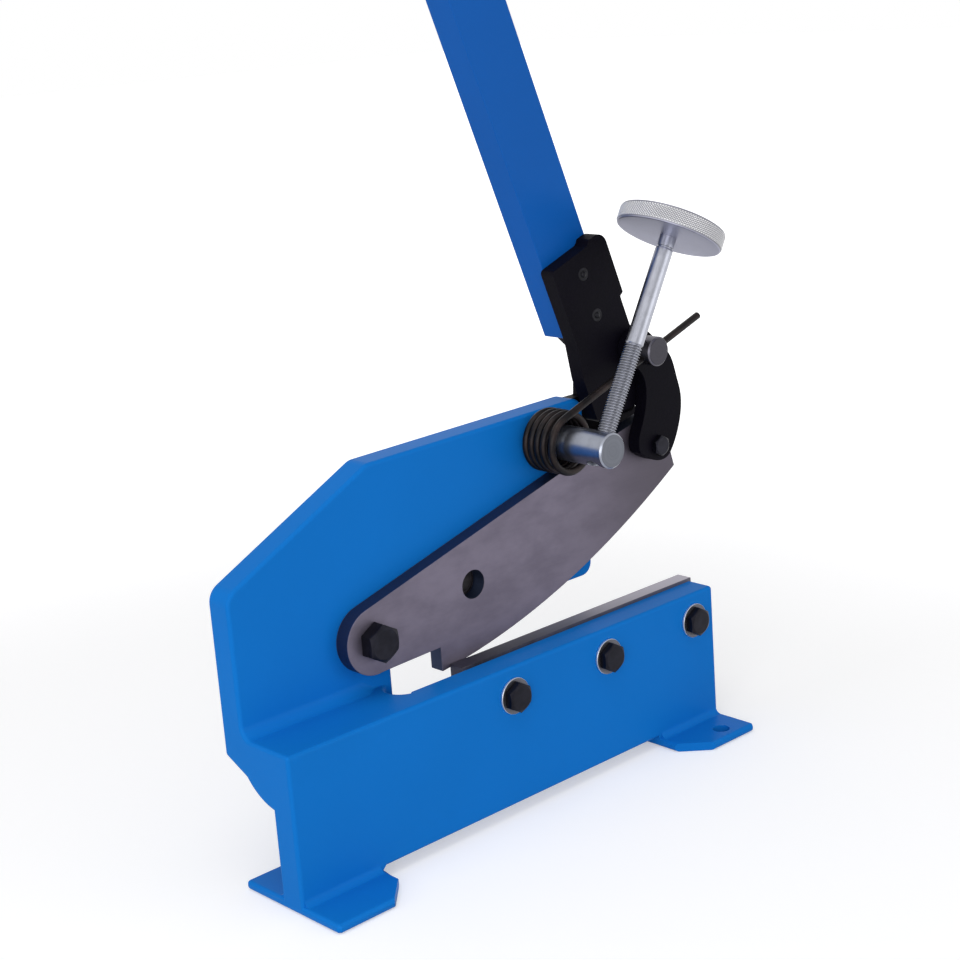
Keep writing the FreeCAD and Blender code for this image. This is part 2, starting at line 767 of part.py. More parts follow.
def make_socket_bridge(body, fit, outer, left, boss):
    """Joins the socket's front wall to the arm, round the bar's right side and foot."""
    under = -size("bridge_fit")
    hidden = left + size("bridge_setback")
    outline = rounded_polygon([
        (bar_point(size("bridge_top"), fit), 0),
        (bar_point(size("bridge_top"), outer), 0.5),
        (bar_point(-size("socket_waist"), outer), 3),
        (polar(STUD, boss, 40), 0.4 * boss),
        (polar(STUD, boss, -25), 0.4 * boss),
        (polar(STUD, boss, -90), 4),
        (bar_point(-size("bridge_drop"), hidden), 4),
        (bar_point(under, hidden), 0.5),
        (bar_point(under, fit), 0),
    ])
    stud_hole = (STUD, running("stud_radius"))
    slab(body, ARM_FRONT, minus(ARM_FRONT, SOCKET_BACK), outline, [stud_hole])


def make_socket_cheek(body, boss):
    """Rear cheek of the fork that the blade's ear moves in, clear of the link's washer."""
    low = LINK_BOLT[1] + size("link_washer_radius") + size("cheek_margin")
    half_width = boss - size("bridge_inset")
    left, right, top = STUD[0] - half_width, STUD[0] + half_width, STUD[1] + half_width
    outline = rounded_polygon([
        ((STUD[0] - size("cheek_setback"), low), 3),
        ((right, low), 5),
        ((right, top), 0.98 * half_width),
        ((left, top), 0.98 * half_width),
        ((left, STUD[1] - size("cheek_waist")), 4),
    ])
    stud_hole = (STUD, running("stud_radius"))
    slab(body, ARM_FRONT, minus(ARM_FRONT, PLATE_FRONT), outline, [stud_hole])


def make_pivot_arm():
    body = new_body("pivot_arm")
    half = size("bar_width") / 2
    eye = size("journal_radius") + size("arm_eye_wall")
    boss = size("stud_radius") + size("arm_boss_wall")
    top = size("socket_screw_high") + size("arm_margin")
    low = size("socket_screw_low") - size("arm_margin")
    side = size("arm_half_width")
    elbow = (PLATE_RIGHT + size("arm_elbow"), SHAFT[1] + eye)
    hip = (LINK_BOLT[0] + size("arm_spread"), LINK_BOLT[1] + size("arm_spread"))
    heel = (LINK_BOLT[0] + size("arm_heel"), LINK_BOLT[1])
    corners = [
        polar(SHAFT, eye, 90), elbow, polar(STUD, boss, 200), bar_point(low, -side),
        bar_point(top, -side), bar_point(top, half), bar_point(low + size("arm_shoulder"), half),
        polar(STUD, boss, 30),
    ]
    outline = [("line", start, end) for start, end in zip(corners, corners[1:])]
    outline += [
        ("arc", polar(STUD, boss, 30), polar(STUD, boss, -10), polar(STUD, boss, -50)),
        ("line", polar(STUD, boss, -50), hip),
        ("line", hip, heel),
        ("line", heel, polar(SHAFT, eye, -80)),
        ("arc", polar(SHAFT, eye, -80), polar(SHAFT, eye, 185), polar(SHAFT, eye, 90)),
    ]
    holes = socket_screw_holes() + [(STUD, running("stud_radius")),
                                    (SHAFT, running("journal_radius"))]
    slab(body, ARM_BACK, "sizes.arm_thickness", outline, holes)


def make_socket_screws():
    head_front = minus(SOCKET_FRONT, "sizes.socket_screw_head")
    for side, place in zip(("upper", "lower"), SOCKET_SCREWS):
        body = new_body("socket_screw_" + side)
        round_bar(body, SOCKET_FRONT, head_front, place, "sizes.socket_screw_head_radius")
        round_bar(body, ARM_BACK, SOCKET_FRONT, place, "sizes.socket_screw_radius")


# Link: stud on the lever, curved link in front of the blade's ear, bolt through the ear
def make_link_stud():
    stud = new_body("link_stud")
    round_bar(stud, ARM_BACK, minus(LINK_FRONT, "sizes.stud_reach"), STUD, "sizes.stud_radius")
    hole = doc.addObject("Part::Cylinder", "stud_cross_hole")
    hole.setExpression("Radius", running("spring_wire_radius"))
    hole.setExpression("Height", "4 * sizes.stud_radius")
    start = polar(LEG_HOLE, 2 * size("stud_radius"), leg_slope() + 180)
    hole.Placement = FreeCAD.Placement(
        FreeCAD.Vector(start[0], spring_leg_y(), start[1]),
        FreeCAD.Rotation(FreeCAD.Vector(0, 1, 0), 90 - leg_slope()))
    cut_from(stud, hole, "link_stud")


def make_crescent_link():
    body = new_body("crescent_link")
    eye = size("stud_radius") + size("link_eye_wall")
    span = distance(STUD, LINK_BOLT)
    belly = size("link_belly")
    middle = ((STUD[0] + LINK_BOLT[0]) / 2, (STUD[1] + LINK_BOLT[1]) / 2)
    top = polar(STUD, eye, 60)
    foot_right = polar(LINK_BOLT, 0.198 * span, -34)
    foot_left = polar(LINK_BOLT, 0.265 * span, 185)
    eye_left = polar(STUD, eye, -125)
    outline = [
        ("curve", [top, polar(STUD, 1.08 * eye, 22), polar(STUD, 1.5 * eye, -3),
                   polar(STUD, 2 * eye, -14), polar(middle, 0.817 * belly, 16),
                   polar(middle, 0.853 * belly, -1), polar(LINK_BOLT, 0.313 * span, 20),
                   polar(LINK_BOLT, 0.241 * span, 0), foot_right]),
        ("curve", [foot_right, polar(LINK_BOLT, 0.17 * span, -65),
                   polar(LINK_BOLT, 0.15 * span, -105), foot_left]),
        ("curve", [foot_left, polar(LINK_BOLT, 0.3 * span, 153),
                   polar(LINK_BOLT, 0.347 * span, 126), polar(middle, 0.185 * belly, 222),
                   polar(middle, 0.41 * belly, 110), eye_left]),
        ("arc", eye_left, polar(STUD, eye, 150), top),
    ]
    holes = [(STUD, running("stud_radius")), (LINK_BOLT, running("link_bolt_radius"))]
    slab(body, LINK_BACK, "sizes.link_thickness", outline, holes)


def make_link_bolt():
    bolt = new_body("link_bolt")
    flats = size("link_bolt_flats")
    washer_front = plus(UPPER_BACK, "sizes.slide_gap")
    washer_back = plus(washer_front, "sizes.link_washer_thickness")
    nut_back = plus(washer_back, "sizes.link_nut_height")
    hex_bar(bolt, LINK_FRONT, minus(LINK_FRONT, "sizes.link_bolt_head"), LINK_BOLT, flats)
    round_bar(bolt, plus(nut_back, "sizes.link_bolt_tail"), LINK_FRONT, LINK_BOLT,
              "sizes.link_bolt_radius")
    washer = new_body("link_washer")
    round_bar(washer, washer_back, washer_front, LINK_BOLT, "sizes.link_washer_radius",
              running("link_bolt_radius"))
    nut = new_body("link_nut")
    hex_bar(nut, nut_back, washer_back, LINK_BOLT, flats, running("link_bolt_radius"))


make_bed_beam()
make_foot("left_foot", LEFT, 1, BEAM_BACK_Y + size("back_hole_offset"),
          size("foot_outer_corner"))
make_foot("right_foot", RIGHT, -1, BEAM_FRONT_Y - size("front_hole_offset"),
          size("foot_outer_corner"))
make_joining_block()
make_frame_plate()
make_lower_blade()
make_blade_bolts()
make_upper_blade()
make_pivot_bolt()
make_rod_bush()
make_fulcrum_shaft()
make_hold_down()
make_return_spring()
make_spring_leg()
make_handle_bar()
make_handle_socket()
make_pivot_arm()
make_socket_screws()
make_link_stud()
make_crescent_link()
make_link_bolt()
doc.recompute()

NODES = [
    "bed_beam", "left_foot", "right_foot", "joining_block", "frame_plate", "lower_blade",
    "blade_washer_left", "blade_washer_middle", "blade_washer_right",
    "blade_bolt_left", "blade_bolt_middle", "blade_bolt_right",
    "upper_blade", "pivot_bolt", "pivot_washer", "pivot_nut", "rod_bush",
    "fulcrum_shaft", "shaft_nut", "hold_down_screw", "hold_down_wheel",
    "return_spring", "spring_leg", "handle_bar", "handle_socket", "pivot_arm",
    "socket_screw_upper", "socket_screw_lower",
    "link_stud", "crescent_link", "link_bolt", "link_washer", "link_nut",
]

for item in doc.Objects:
    if "Invalid" in item.State or "Error" in item.State:
        raise RuntimeError("%s did not build: %s" % (item.Label, item.State))

total = 0.0
for label in NODES:
    found = doc.getObjectsByLabel(label)
    if len(found) != 1:
        raise RuntimeError("%s: %d objects with this label" % (label, len(found)))
    shape = found[0].Shape
    if shape.isNull() or not shape.isValid():
        raise RuntimeError("%s has no valid shape" % label)
    if len(shape.Solids) != 1:
        raise RuntimeError("%s has %d solids" % (label, len(shape.Solids)))
    total += shape.Volume
    shape.exportStep("parts/%s.step" % label)
    box = shape.BoundBox
    print("%-20s %8.0f mm3  x %.1f %.1f  y %.1f %.1f  z %.1f %.1f" % (
        label, shape.Volume, box.XMin, box.XMax, box.YMin, box.YMax, box.ZMin, box.ZMax))
print("solid volume %.0f mm3" % total)
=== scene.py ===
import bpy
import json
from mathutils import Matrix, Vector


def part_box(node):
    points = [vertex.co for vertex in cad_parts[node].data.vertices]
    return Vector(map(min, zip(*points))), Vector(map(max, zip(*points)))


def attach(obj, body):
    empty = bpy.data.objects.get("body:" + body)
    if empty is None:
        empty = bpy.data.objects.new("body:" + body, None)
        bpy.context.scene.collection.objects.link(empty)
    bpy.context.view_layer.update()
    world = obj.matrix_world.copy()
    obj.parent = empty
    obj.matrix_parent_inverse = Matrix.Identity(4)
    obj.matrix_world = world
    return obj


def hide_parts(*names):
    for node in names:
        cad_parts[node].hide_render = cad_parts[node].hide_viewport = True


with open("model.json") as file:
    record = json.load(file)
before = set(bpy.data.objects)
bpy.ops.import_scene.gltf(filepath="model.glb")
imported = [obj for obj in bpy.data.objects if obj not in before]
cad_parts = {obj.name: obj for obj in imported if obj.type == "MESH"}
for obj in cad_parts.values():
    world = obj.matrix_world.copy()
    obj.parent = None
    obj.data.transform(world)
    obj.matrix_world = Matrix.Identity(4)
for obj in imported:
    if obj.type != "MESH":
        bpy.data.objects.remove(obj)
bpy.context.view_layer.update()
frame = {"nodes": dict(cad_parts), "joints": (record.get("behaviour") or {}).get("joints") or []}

# %% [markdown]
# # A hand lever shear in Blender
# A hand lever shear cuts sheet and small bar. A long lever turns on a fulcrum shaft, a curved
# link passes its push to the upper blade, and a spring lifts the lever again. The solid model
# already holds every size, so this lesson dresses it: soft painted edges, turned and threaded
# steel, ground blades. Each piece is made where the solid one stands, and rides on the same body.

# %% Tools and shared values
import json
import math

import bmesh
import bpy
from mathutils import Matrix, Vector

MM = 0.001
UP = Vector((0, 0, 1))
BACKWARD = Vector((0, 1, 0))
joints = {joint["name"]: joint for joint in frame["joints"]}

# %% [markdown]
# ## Materials written as sums
# A finish is a small network of shader nodes. Linking them by hand hides what they work out, so
# one small class wraps a socket and turns + - and * into Math nodes. A second class holds the
# tree, and its method called node adds any other node, with its settings and its sockets.


# %% Shader values as Python expressions
class Value:
    """A number that varies over a surface; sums on it add Math nodes."""

    def __init__(self, nodes, socket):
        self.nodes = nodes
        self.socket = socket

    def maths(self, operation, *others):
        sockets = {index: other for index, other in enumerate((self,) + others)}
        return self.nodes.node("ShaderNodeMath", sockets, operation=operation)

    def __add__(self, other):
        return self.maths("ADD", other)

    def __sub__(self, other):
        return self.maths("SUBTRACT", other)

    def __mul__(self, other):
        return self.maths("MULTIPLY", other)

    def __rsub__(self, other):
        return self.maths("MULTIPLY", -1) + other

    __radd__ = __add__
    __rmul__ = __mul__

    def between(self, low, high):
        """0 below low, 1 above high and a smooth step between them."""
        sockets = {"Value": self, "From Min": low, "From Max": high}
        return self.nodes.node("ShaderNodeMapRange", sockets, interpolation_type="SMOOTHSTEP")


class Nodes:
    """A node tree, and one method that adds any node to it."""

    def __init__(self, tree):
        self.tree = tree

    def node(self, kind, sockets=None, output=0, **settings):
        made = self.tree.nodes.new(kind)
        for setting, choice in settings.items():
            setattr(made, setting, choice)
        for name, value in (sockets or {}).items():
            self.feed(made.inputs[name], value)
        return Value(self, made.outputs[output])

    def feed(self, socket, value):
        if isinstance(value, Value):
            self.tree.links.new(value.socket, socket)
        else:
            socket.default_value = value

    def seen(self):
        """1 for camera, mirror and glass rays, 0 for light on its way to a surface."""
        path = self.tree.nodes.new("ShaderNodeLightPath")
        rays = ["Is Camera Ray", "Is Glossy Ray", "Is Transmission Ray"]
        camera, mirror, glass = [Value(self, path.outputs[ray]) for ray in rays]
        return camera.maths("MAXIMUM", mirror).maths("MAXIMUM", glass)


print("shader sums are ready")

# %% [markdown]
# ## One class for every finish
# A finish starts from the Principled shader, which a new material already has. Each method below
# is a word that the finishes use often: a place, a noise, a blend of two colours, a relief. All
# patterns read Object coordinates in metres, so a grain keeps its real size on every piece.

# %% The finish class
MIX_SHARE, MIX_FIRST, MIX_SECOND, MIX_RESULT = 0, 6, 7, 2  # a Mix node's sockets for colours


class Finish(Nodes):
    """A surface finish: a material whose patterns are written as sums."""

    def __init__(self, name, **constants):
        self.material = bpy.data.materials.new(name)
        self.material.use_nodes = True
        super().__init__(self.material.node_tree)
        self.shader = self.tree.nodes["Principled BSDF"]
        for socket, number in constants.items():
            self.shader.inputs[socket.replace("_", " ")].default_value = number

    def set(self, name, value):
        self.feed(self.shader.inputs[name], value)

    def place(self):
        """Where a point of the surface is, in metres."""
        return self.node("ShaderNodeTexCoord", output="Object")

    def turned(self, scale, degrees):
        """The place turned and stretched, for a pattern that runs along something."""
        rotation = [math.radians(angle) for angle in degrees]
        sockets = {"Vector": self.place(), "Rotation": rotation, "Scale": scale}
        return self.node("ShaderNodeMapping", sockets)

    def apart(self, vector):
        """The three parts of a vector as separate values."""
        parts = self.tree.nodes.new("ShaderNodeSeparateXYZ")
        self.feed(parts.inputs[0], vector)
        return [Value(self, socket) for socket in parts.outputs]

    def vector(self, operation, *others, output=0):
        return self.node("ShaderNodeVectorMath", dict(enumerate(others)), output,
                         operation=operation)

    def round_axis(self, origin, axis):
        """How far a point is out from an axis, and how far along it."""
        from_origin = self.vector("SUBTRACT", self.place(), origin)
        along = self.vector("DOT_PRODUCT", from_origin, axis, output="Value")
        distance = self.vector("LENGTH", from_origin, output="Value")
        return (distance * distance - along * along).maths("SQRT"), along

    def noise(self, place, scale, detail=3, roughness=0.5):
        """Soft random grain from 0 to 1."""
        sockets = {"Vector": place, "Scale": scale, "Detail": detail, "Roughness": roughness}
        return self.node("ShaderNodeTexNoise", sockets)

    def blend(self, share, first, second):
        """A colour that goes from the first to the second with a share."""
        made = self.tree.nodes.new("ShaderNodeMix")
        made.data_type = "RGBA"
        self.feed(made.inputs[MIX_SHARE], share)
        for index, colour in ((MIX_FIRST, first), (MIX_SECOND, second)):
            self.feed(made.inputs[index], colour if isinstance(colour, Value) else (*colour, 1))
        return Value(self, made.outputs[MIX_RESULT])

    def emboss(self, height, depth):
        """Fine relief of a real depth in metres, too small to model."""
        sockets = {"Height": height, "Distance": depth, "Strength": 1.0}
        self.set("Normal", self.node("ShaderNodeBump", sockets))


def tinted(colour, share):
    """A colour made lighter or darker."""
    return [share * part for part in colour]


print("the finish class is ready")

# %% [markdown]
# ## Blue enamel
# The frame and the bar are sprayed with glossy enamel over sanded steel. The coat is even, but
# it ripples a little, like the skin of an orange, and that ripple is what makes its highlights
# look like paint. A faint change of tone keeps a large flat face from looking printed. The bar
# has a deeper blue and a little more sheen than the frame.

# %% Blue enamel
def blue_enamel(name, colour, sheen):
    paint = Finish(name, IOR=1.4, Specular_IOR_Level=sheen)
    broad = paint.noise(paint.place(), scale=7, detail=2)
    ripple = paint.noise(paint.place(), scale=260, detail=2)
    tone = paint.blend(broad.between(0.3, 0.7), colour, tinted(colour, 1.06))
    paint.set("Base Color", tone)
    paint.set("Roughness", 0.32 + 0.08 * broad)
    paint.emboss(ripple, 0.04 * MM)
    return paint.material


BLUE = blue_enamel("blue_enamel", (0.005, 0.160, 0.545), sheen=0.05)
BAR_BLUE = blue_enamel("bar_enamel", (0.003, 0.096, 0.400), sheen=0.11)
print("enamels:", BLUE.name, BAR_BLUE.name)

# %% [markdown]
# ## Black finishes
# The socket, the arm and the link are sprayed black over forged or cut steel, so their skin is
# slightly uneven under a satin coat. Screws and nuts are blackened in a hot bath, which leaves
# the metal dark and faintly blue, and paler where a spanner rubs. The spring wire is oiled and
# browner. Paint is no metal and oxide nearly is one, so the two are written as separate finishes.

# %% Black finishes
def forged_black():
    paint = Finish("forged_black", IOR=1.4, Specular_IOR_Level=0.05)
    skin = paint.noise(paint.place(), scale=420, detail=4, roughness=0.6)
    broad = paint.noise(paint.place(), scale=45)
    paint.set("Base Color", paint.blend(broad, (0.002, 0.002, 0.004), (0.005, 0.004, 0.008)))
    paint.set("Roughness", 0.36 + 0.16 * broad)
    paint.emboss(skin + 2 * broad, 0.12 * MM)
    return paint.material


def blackened(name, dark, worn, scale):
    metal = Finish(name, Metallic=0.75)
    broad = metal.noise(metal.place(), scale, detail=4, roughness=0.6)
    fine = metal.noise(metal.place(), scale=1600, detail=2)
    metal.set("Base Color", metal.blend(broad.between(0.35, 0.75), dark, worn))
    metal.set("Roughness", 0.32 + 0.2 * fine)
    metal.emboss(fine, 0.02 * MM)
    return metal.material


BLACK = forged_black()
OXIDE = blackened("black_oxide", (0.004, 0.004, 0.009), (0.011, 0.011, 0.019), scale=120)
RIVET = blackened("worn_rivet", (0.003, 0.003, 0.005), (0.009, 0.009, 0.013), scale=200)
WIRE = blackened("oiled_wire", (0.006, 0.005, 0.006), (0.024, 0.016, 0.015), scale=90)
print("black finishes:", BLACK.name, OXIDE.name, RIVET.name, WIRE.name)

# %% [markdown]
# ## Measuring the solid pieces
# Round pieces are turned about an axis. Instead of typing their sizes again, small functions
# read them from the solid piece: its middle, how far it reaches along an axis, and how far out
# from it. A frame matrix then stands a new piece on that axis. The line from the blade's pivot
# to its ear gives the slope along which the blade was ground.

# %% Axes and reaches
def box_middle(node):
    low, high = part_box(node)
    return (low + high) / 2


def across(node):
    """The middle of a piece that points backward, taken to y = 0."""
    middle = box_middle(node)
    return Vector((middle.x, 0, middle.z))


def reach(node, origin, axis):
    """Low and high end of a solid piece along an axis, and its radius about it."""
    points = [vertex.co - origin for vertex in frame["nodes"][node].data.vertices]
    along = [point.dot(axis) for point in points]
    radius = max((point - axis * point.dot(axis)).length for point in points)
    return min(along), max(along), radius


def stand(origin, axis, sideways=Vector((1, 0, 0))):
    """A matrix that takes local Z to an axis through an origin."""
    side = (sideways - axis * sideways.dot(axis)).normalized()
    return Matrix.Translation(origin) @ Matrix((side, axis.cross(side), axis)).transposed().to_4x4()


SHAFT = across("fulcrum_shaft")
STUD = across("link_stud")
LINK_BOLT = across("link_nut")
BLADE_PIVOT = across("pivot_nut")
FEED = -Vector(joints["hold_down_feed"]["axis"]).normalized()
SCREW_FOOT = Vector((SHAFT.x, box_middle("hold_down_wheel").y, SHAFT.z))
blade_rise = LINK_BOLT - BLADE_PIVOT
BLADE_SLOPE = math.degrees(math.atan2(blade_rise.z, blade_rise.x))
print("shaft", SHAFT, "stud", STUD, "blade slope %.1f" % BLADE_SLOPE)

# %% [markdown]
# ## Ground blade steel
# What tells bare steels apart is the mark of the tool. A blade has fine straight lines along it
# from the grinding wheel and soft stains under its oil. Its rim, the band of its thickness, gets a
# painted colour: on the upper blade a dark navy painted reflection of the blue plate. Past a share
# of the length face and rim change to painted tones: painted shade darkens the upper blade toward
# its ear, and a painted highlight turns the lower blade's front rim light grey. The lines are
# noise stretched along the blade. The rim is found by depth: only the middle band of the
# thickness is rim, and the two ground faces lie outside it.

# %% Ground steel
def ground_steel(name, node, slope, steel, stain, rim, painted_far_rim, painted_far_face, painted_tone_from):
    """Ground steel with a painted rim; past a share of the length both change to painted tones."""
    metal = Finish(name, Metallic=0.85)
    lines = metal.noise(metal.turned((20, 900, 900), (0, slope, 0)), 1.6, roughness=0.6)
    cloud = metal.noise(metal.turned((30, 30, 55), (0, slope, 0)), 1.0, 4, roughness=0.6)
    low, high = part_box(node)
    half = (high.y - low.y) / 2
    along, depth, _ = metal.apart(metal.place())
    # face is 1 on the two ground faces and 0 on the rim, which gets a painted colour of light and
    # shade.
    face = (depth - (low.y + half)).maths("ABSOLUTE").between(half - 0.7 * MM, half - 0.4 * MM)
    # far is the share of painted shading, which grows past a given share of the length.
    far = along.between(low.x + painted_tone_from * (high.x - low.x), high.x)
    ground = metal.blend(cloud.between(0.3, 0.75), steel, stain)
    ground = metal.blend(far, ground, painted_far_face)
    metal.set("Base Color", metal.blend(face, metal.blend(far, rim, painted_far_rim), ground))
    metal.set("Roughness", 0.42 + 0.14 * lines + 0.06 * cloud)
    metal.emboss(lines, 0.02 * MM)
    return metal.material


# Upper blade: the rim's dark navy is a painted reflection of the blue plate, and past half the
# length the blade darkens toward its ear as a painted dark reflection.
BLADE = ground_steel("ground_blade", "upper_blade", slope=-BLADE_SLOPE,
                     steel=(0.165, 0.147, 0.195), stain=(0.125, 0.111, 0.15),
                     rim=(0.028, 0.042, 0.088), painted_far_rim=(0.020, 0.026, 0.045),
                     painted_far_face=(0.085, 0.075, 0.095), painted_tone_from=0.55)
# Lower blade: the rim, its front face, is dark at the left end and painted light grey beyond it as
# a painted highlight, and the face is a little lighter there too.
LOWER = ground_steel("lower_blade_steel", "lower_blade", slope=0,
                     steel=(0.10, 0.093, 0.11), stain=(0.03, 0.027, 0.03),
                     rim=(0.060, 0.058, 0.085), painted_far_rim=(0.42, 0.40, 0.46),
                     painted_far_face=(0.13, 0.122, 0.15), painted_tone_from=0.1)
print("ground steels:", BLADE.name, LOWER.name)

# %% [markdown]
# ## Turned steel
# A lathe leaves fine rings round a shaft and finer ones on its faced end, which looks duller.
# Radius and distance along the axis are two values, and noise that reads only those two comes
# out as rings. On the screw the same radius darkens the thread's grooves as painted shade.

# %% Turned steel
RING_PITCH = 0.9 * MM


def turned_steel(name, colour, origin, axis, roughness, end=None, relief=0.025 * MM, thread=None):
    """Steel with rings round an axis; a thread (root, outer radius, top) gets painted groove shade.
    """
    metal = Finish(name, Metallic=1.0)
    radius, along = metal.round_axis(origin, axis)
    spread = metal.node("ShaderNodeCombineXYZ", {"X": radius, "Y": along})
    rings = metal.noise(spread, 1 / RING_PITCH, detail=4, roughness=0.7)
    grain = metal.noise(metal.place(), scale=150, detail=4, roughness=0.6)
    steel = metal.blend(grain.between(0.25, 0.8), colour, tinted(colour, 0.82))
    if end is not None:
        faced = metal.blend(rings, tinted(colour, 0.28), tinted(colour, 0.44))
        steel = metal.blend((along - end).between(0.1 * MM, 0.5 * MM), faced, steel)
    if thread is not None:
        root, outer, top = thread
        # Painted shade: below the thread's top, points nearer the axis than the crest are coloured
        # half as bright.
        outside_groove_shade = radius.between(root, outer).maths("MAXIMUM", along.between(top, top + MM))
        steel = metal.blend(outside_groove_shade, tinted(colour, 0.5), steel)
    metal.set("Base Color", steel)
    metal.set("Roughness", roughness + 0.12 * rings)
    metal.emboss(rings, relief)
    return metal.material


THREAD_DEPTH = 0.9 * MM
THREAD_TOP = 71 * MM
SCREW_RADIUS = reach("hold_down_screw", SCREW_FOOT, FEED)[2]
thread = (SCREW_RADIUS - THREAD_DEPTH, SCREW_RADIUS - THREAD_DEPTH / 2, THREAD_TOP)
SHAFT_STEEL = turned_steel("turned_shaft", (0.34, 0.36, 0.42), SHAFT, BACKWARD, roughness=0.26,
                           end=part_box("fulcrum_shaft")[0].y)
STUD_STEEL = turned_steel("turned_stud", (0.13, 0.125, 0.15), STUD, BACKWARD, roughness=0.3,
                          end=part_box("link_stud")[0].y)
SCREW_STEEL = turned_steel("turned_screw", (0.36, 0.37, 0.42), SCREW_FOOT, FEED, roughness=0.24,
                           relief=0.002 * MM, thread=thread)
print("turned steels:", SHAFT_STEEL.name, STUD_STEEL.name, SCREW_STEEL.name)

# %% [markdown]
# ## Zinc plate
# The wheel and the blade bolts' washers are zinc plated, which gives a soft even grain with no
# lines. A washer's flat face is painted dark as a painted reflection, and its rim light as a
# painted highlight. The wheel's knurl has its colour go with the radius: painted highlights on
# its points and painted shade in its grooves.

# %% Zinc plate
KNURL_DEPTH = 0.45 * MM


def zinc_plate(name):
    """Plain zinc: the finish and its cloudy colour."""
    metal = Finish(name, Metallic=1.0)
    grain = metal.noise(metal.place(), scale=900, roughness=0.6)
    cloud = metal.noise(metal.place(), scale=60)
    metal.set("Roughness", 0.34 + 0.14 * grain)
    metal.emboss(grain, 0.03 * MM)
    return metal, metal.blend(cloud, (0.33, 0.335, 0.43), (0.41, 0.415, 0.52))


def washer_zinc(front):
    """Zinc with a painted dark reflection on a washer's flat face, at a known depth, and a painted
    highlight on its rim.
    """
    metal, _ = zinc_plate("washer_zinc")
    rim = metal.apart(metal.place())[1].between(front + 0.1 * MM, front + 0.4 * MM)
    # Painted colour: the flat face is dark as a painted reflection, and the rim light as a painted
    # highlight.
    metal.set("Base Color", metal.blend(rim, (0.13, 0.13, 0.15), (0.75, 0.75, 0.77)))
    return metal.material


def wheel_zinc(origin, axis, root, radius):
    """Zinc whose knurled rim has painted highlights on its points and painted shade in its grooves.
    """
    metal, zinc = zinc_plate("wheel_zinc")
    out, _ = metal.round_axis(origin, axis)
    # Painted highlight and shade: the knurl's points are coloured white and its grooves dark grey.
    rim = metal.blend(out.between(root, radius), (0.22, 0.22, 0.25), (1.0, 1.0, 1.0))
    knurled = out.between(root - 0.5 * MM, root - 0.1 * MM)
    metal.set("Base Color", metal.blend(knurled, zinc, rim))
    metal.set("Metallic", 1 - 0.55 * knurled)
    return metal.material


WHEEL_RADIUS = reach("hold_down_wheel", SCREW_FOOT, FEED)[2]
WASHER = washer_zinc(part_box("blade_washer_left")[0].y)
WHEEL_ZINC = wheel_zinc(SCREW_FOOT, FEED, WHEEL_RADIUS - KNURL_DEPTH, WHEEL_RADIUS)
print("zinc:", WASHER.name, WHEEL_ZINC.name, "wheel radius %.1f mm" % (WHEEL_RADIUS / MM))

# %% [markdown]
# ## Small modelling helpers
# Three moves make nearly all of the pieces. A solid piece is copied and its loose triangles are
# merged into clean faces. A round piece is a line of points spun about Z. Sharp edges are then
# broken with a bevel, because no real edge is perfectly sharp and the eye looks for that glint.

# %% Copying, turning and breaking edges
def merge_flat(made, gap):
    """Joins points closer than a gap, and triangles that lie in one plane."""
    bmesh.ops.remove_doubles(made, verts=made.verts, dist=gap)
    bmesh.ops.dissolve_limit(made, angle_limit=math.radians(0.5), verts=made.verts,
                             edges=made.edges)


def clean_copy(node):
    """A solid piece as a mesh of merged flat faces."""
    made = bmesh.new()
    made.from_mesh(frame["nodes"][node].data)
    merge_flat(made, 0.01 * MM)
    return made


def lathe(profile, steps=96, closed=False):
    """A mesh turned about Z from (radius, height) points in metres."""
    made = bmesh.new()
    points = [made.verts.new((radius, 0, height)) for radius, height in profile]
    ends = points[1:] + (points[:1] if closed else [])
    edges = [made.edges.new(pair) for pair in zip(points, ends)]
    bmesh.ops.spin(made, geom=points + edges, axis=UP, cent=(0, 0, 0), dvec=(0, 0, 0),
                   angle=math.tau, steps=steps, use_merge=True)
    bmesh.ops.remove_doubles(made, verts=made.verts, dist=0.001 * MM)
    bmesh.ops.recalc_face_normals(made, faces=made.faces)
    return made


def break_edges(made, width, segments=2, sharper_than=50, wanted=None, clamp=True):
    """Bevels the edges that are sharper than an angle in degrees."""
    made.normal_update()
    limit = math.radians(sharper_than)
    edges = [edge for edge in made.edges if len(edge.link_faces) == 2
             and edge.calc_face_angle() > limit and (wanted is None or wanted(edge))]
    bmesh.ops.bevel(made, geom=edges, offset=width, offset_type="OFFSET", affect="EDGES",
                    segments=segments, profile=0.5, material=-1, clamp_overlap=clamp)
    return len(edges)


print("lathe, copy and bevel are ready")

# %% [markdown]
# ## Joining meshes and finishing a piece
# Where two round or square shapes meet at odd angles, the boolean modifier works out the cut. It
# needs objects, so two meshes become objects for a moment and the result is read back. A last
# helper turns a mesh into a finished object: smooth faces, edges that stay sharp past an angle,
# its material, and the solid pieces that it stands for.

# %% Booleans and finished pieces
def combine(base, tool, operation):
    """Joins, cuts or intersects two meshes with the exact solver."""
    objects = []
    for made in (base, tool):
        data = bpy.data.meshes.new("solid")
        made.to_mesh(data)
        made.free()
        solid = bpy.data.objects.new("solid", data)
        bpy.context.scene.collection.objects.link(solid)
        objects.append(solid)
    change = objects[0].modifiers.new("combine", "BOOLEAN")
    change.operation = operation
    change.solver = "EXACT"
    change.object = objects[1]
    bpy.context.view_layer.update()
    result = bmesh.new()
    result.from_object(objects[0], bpy.context.evaluated_depsgraph_get())
    for solid in objects:
        data = solid.data
        bpy.data.objects.remove(solid)
        bpy.data.meshes.remove(data)
    return result


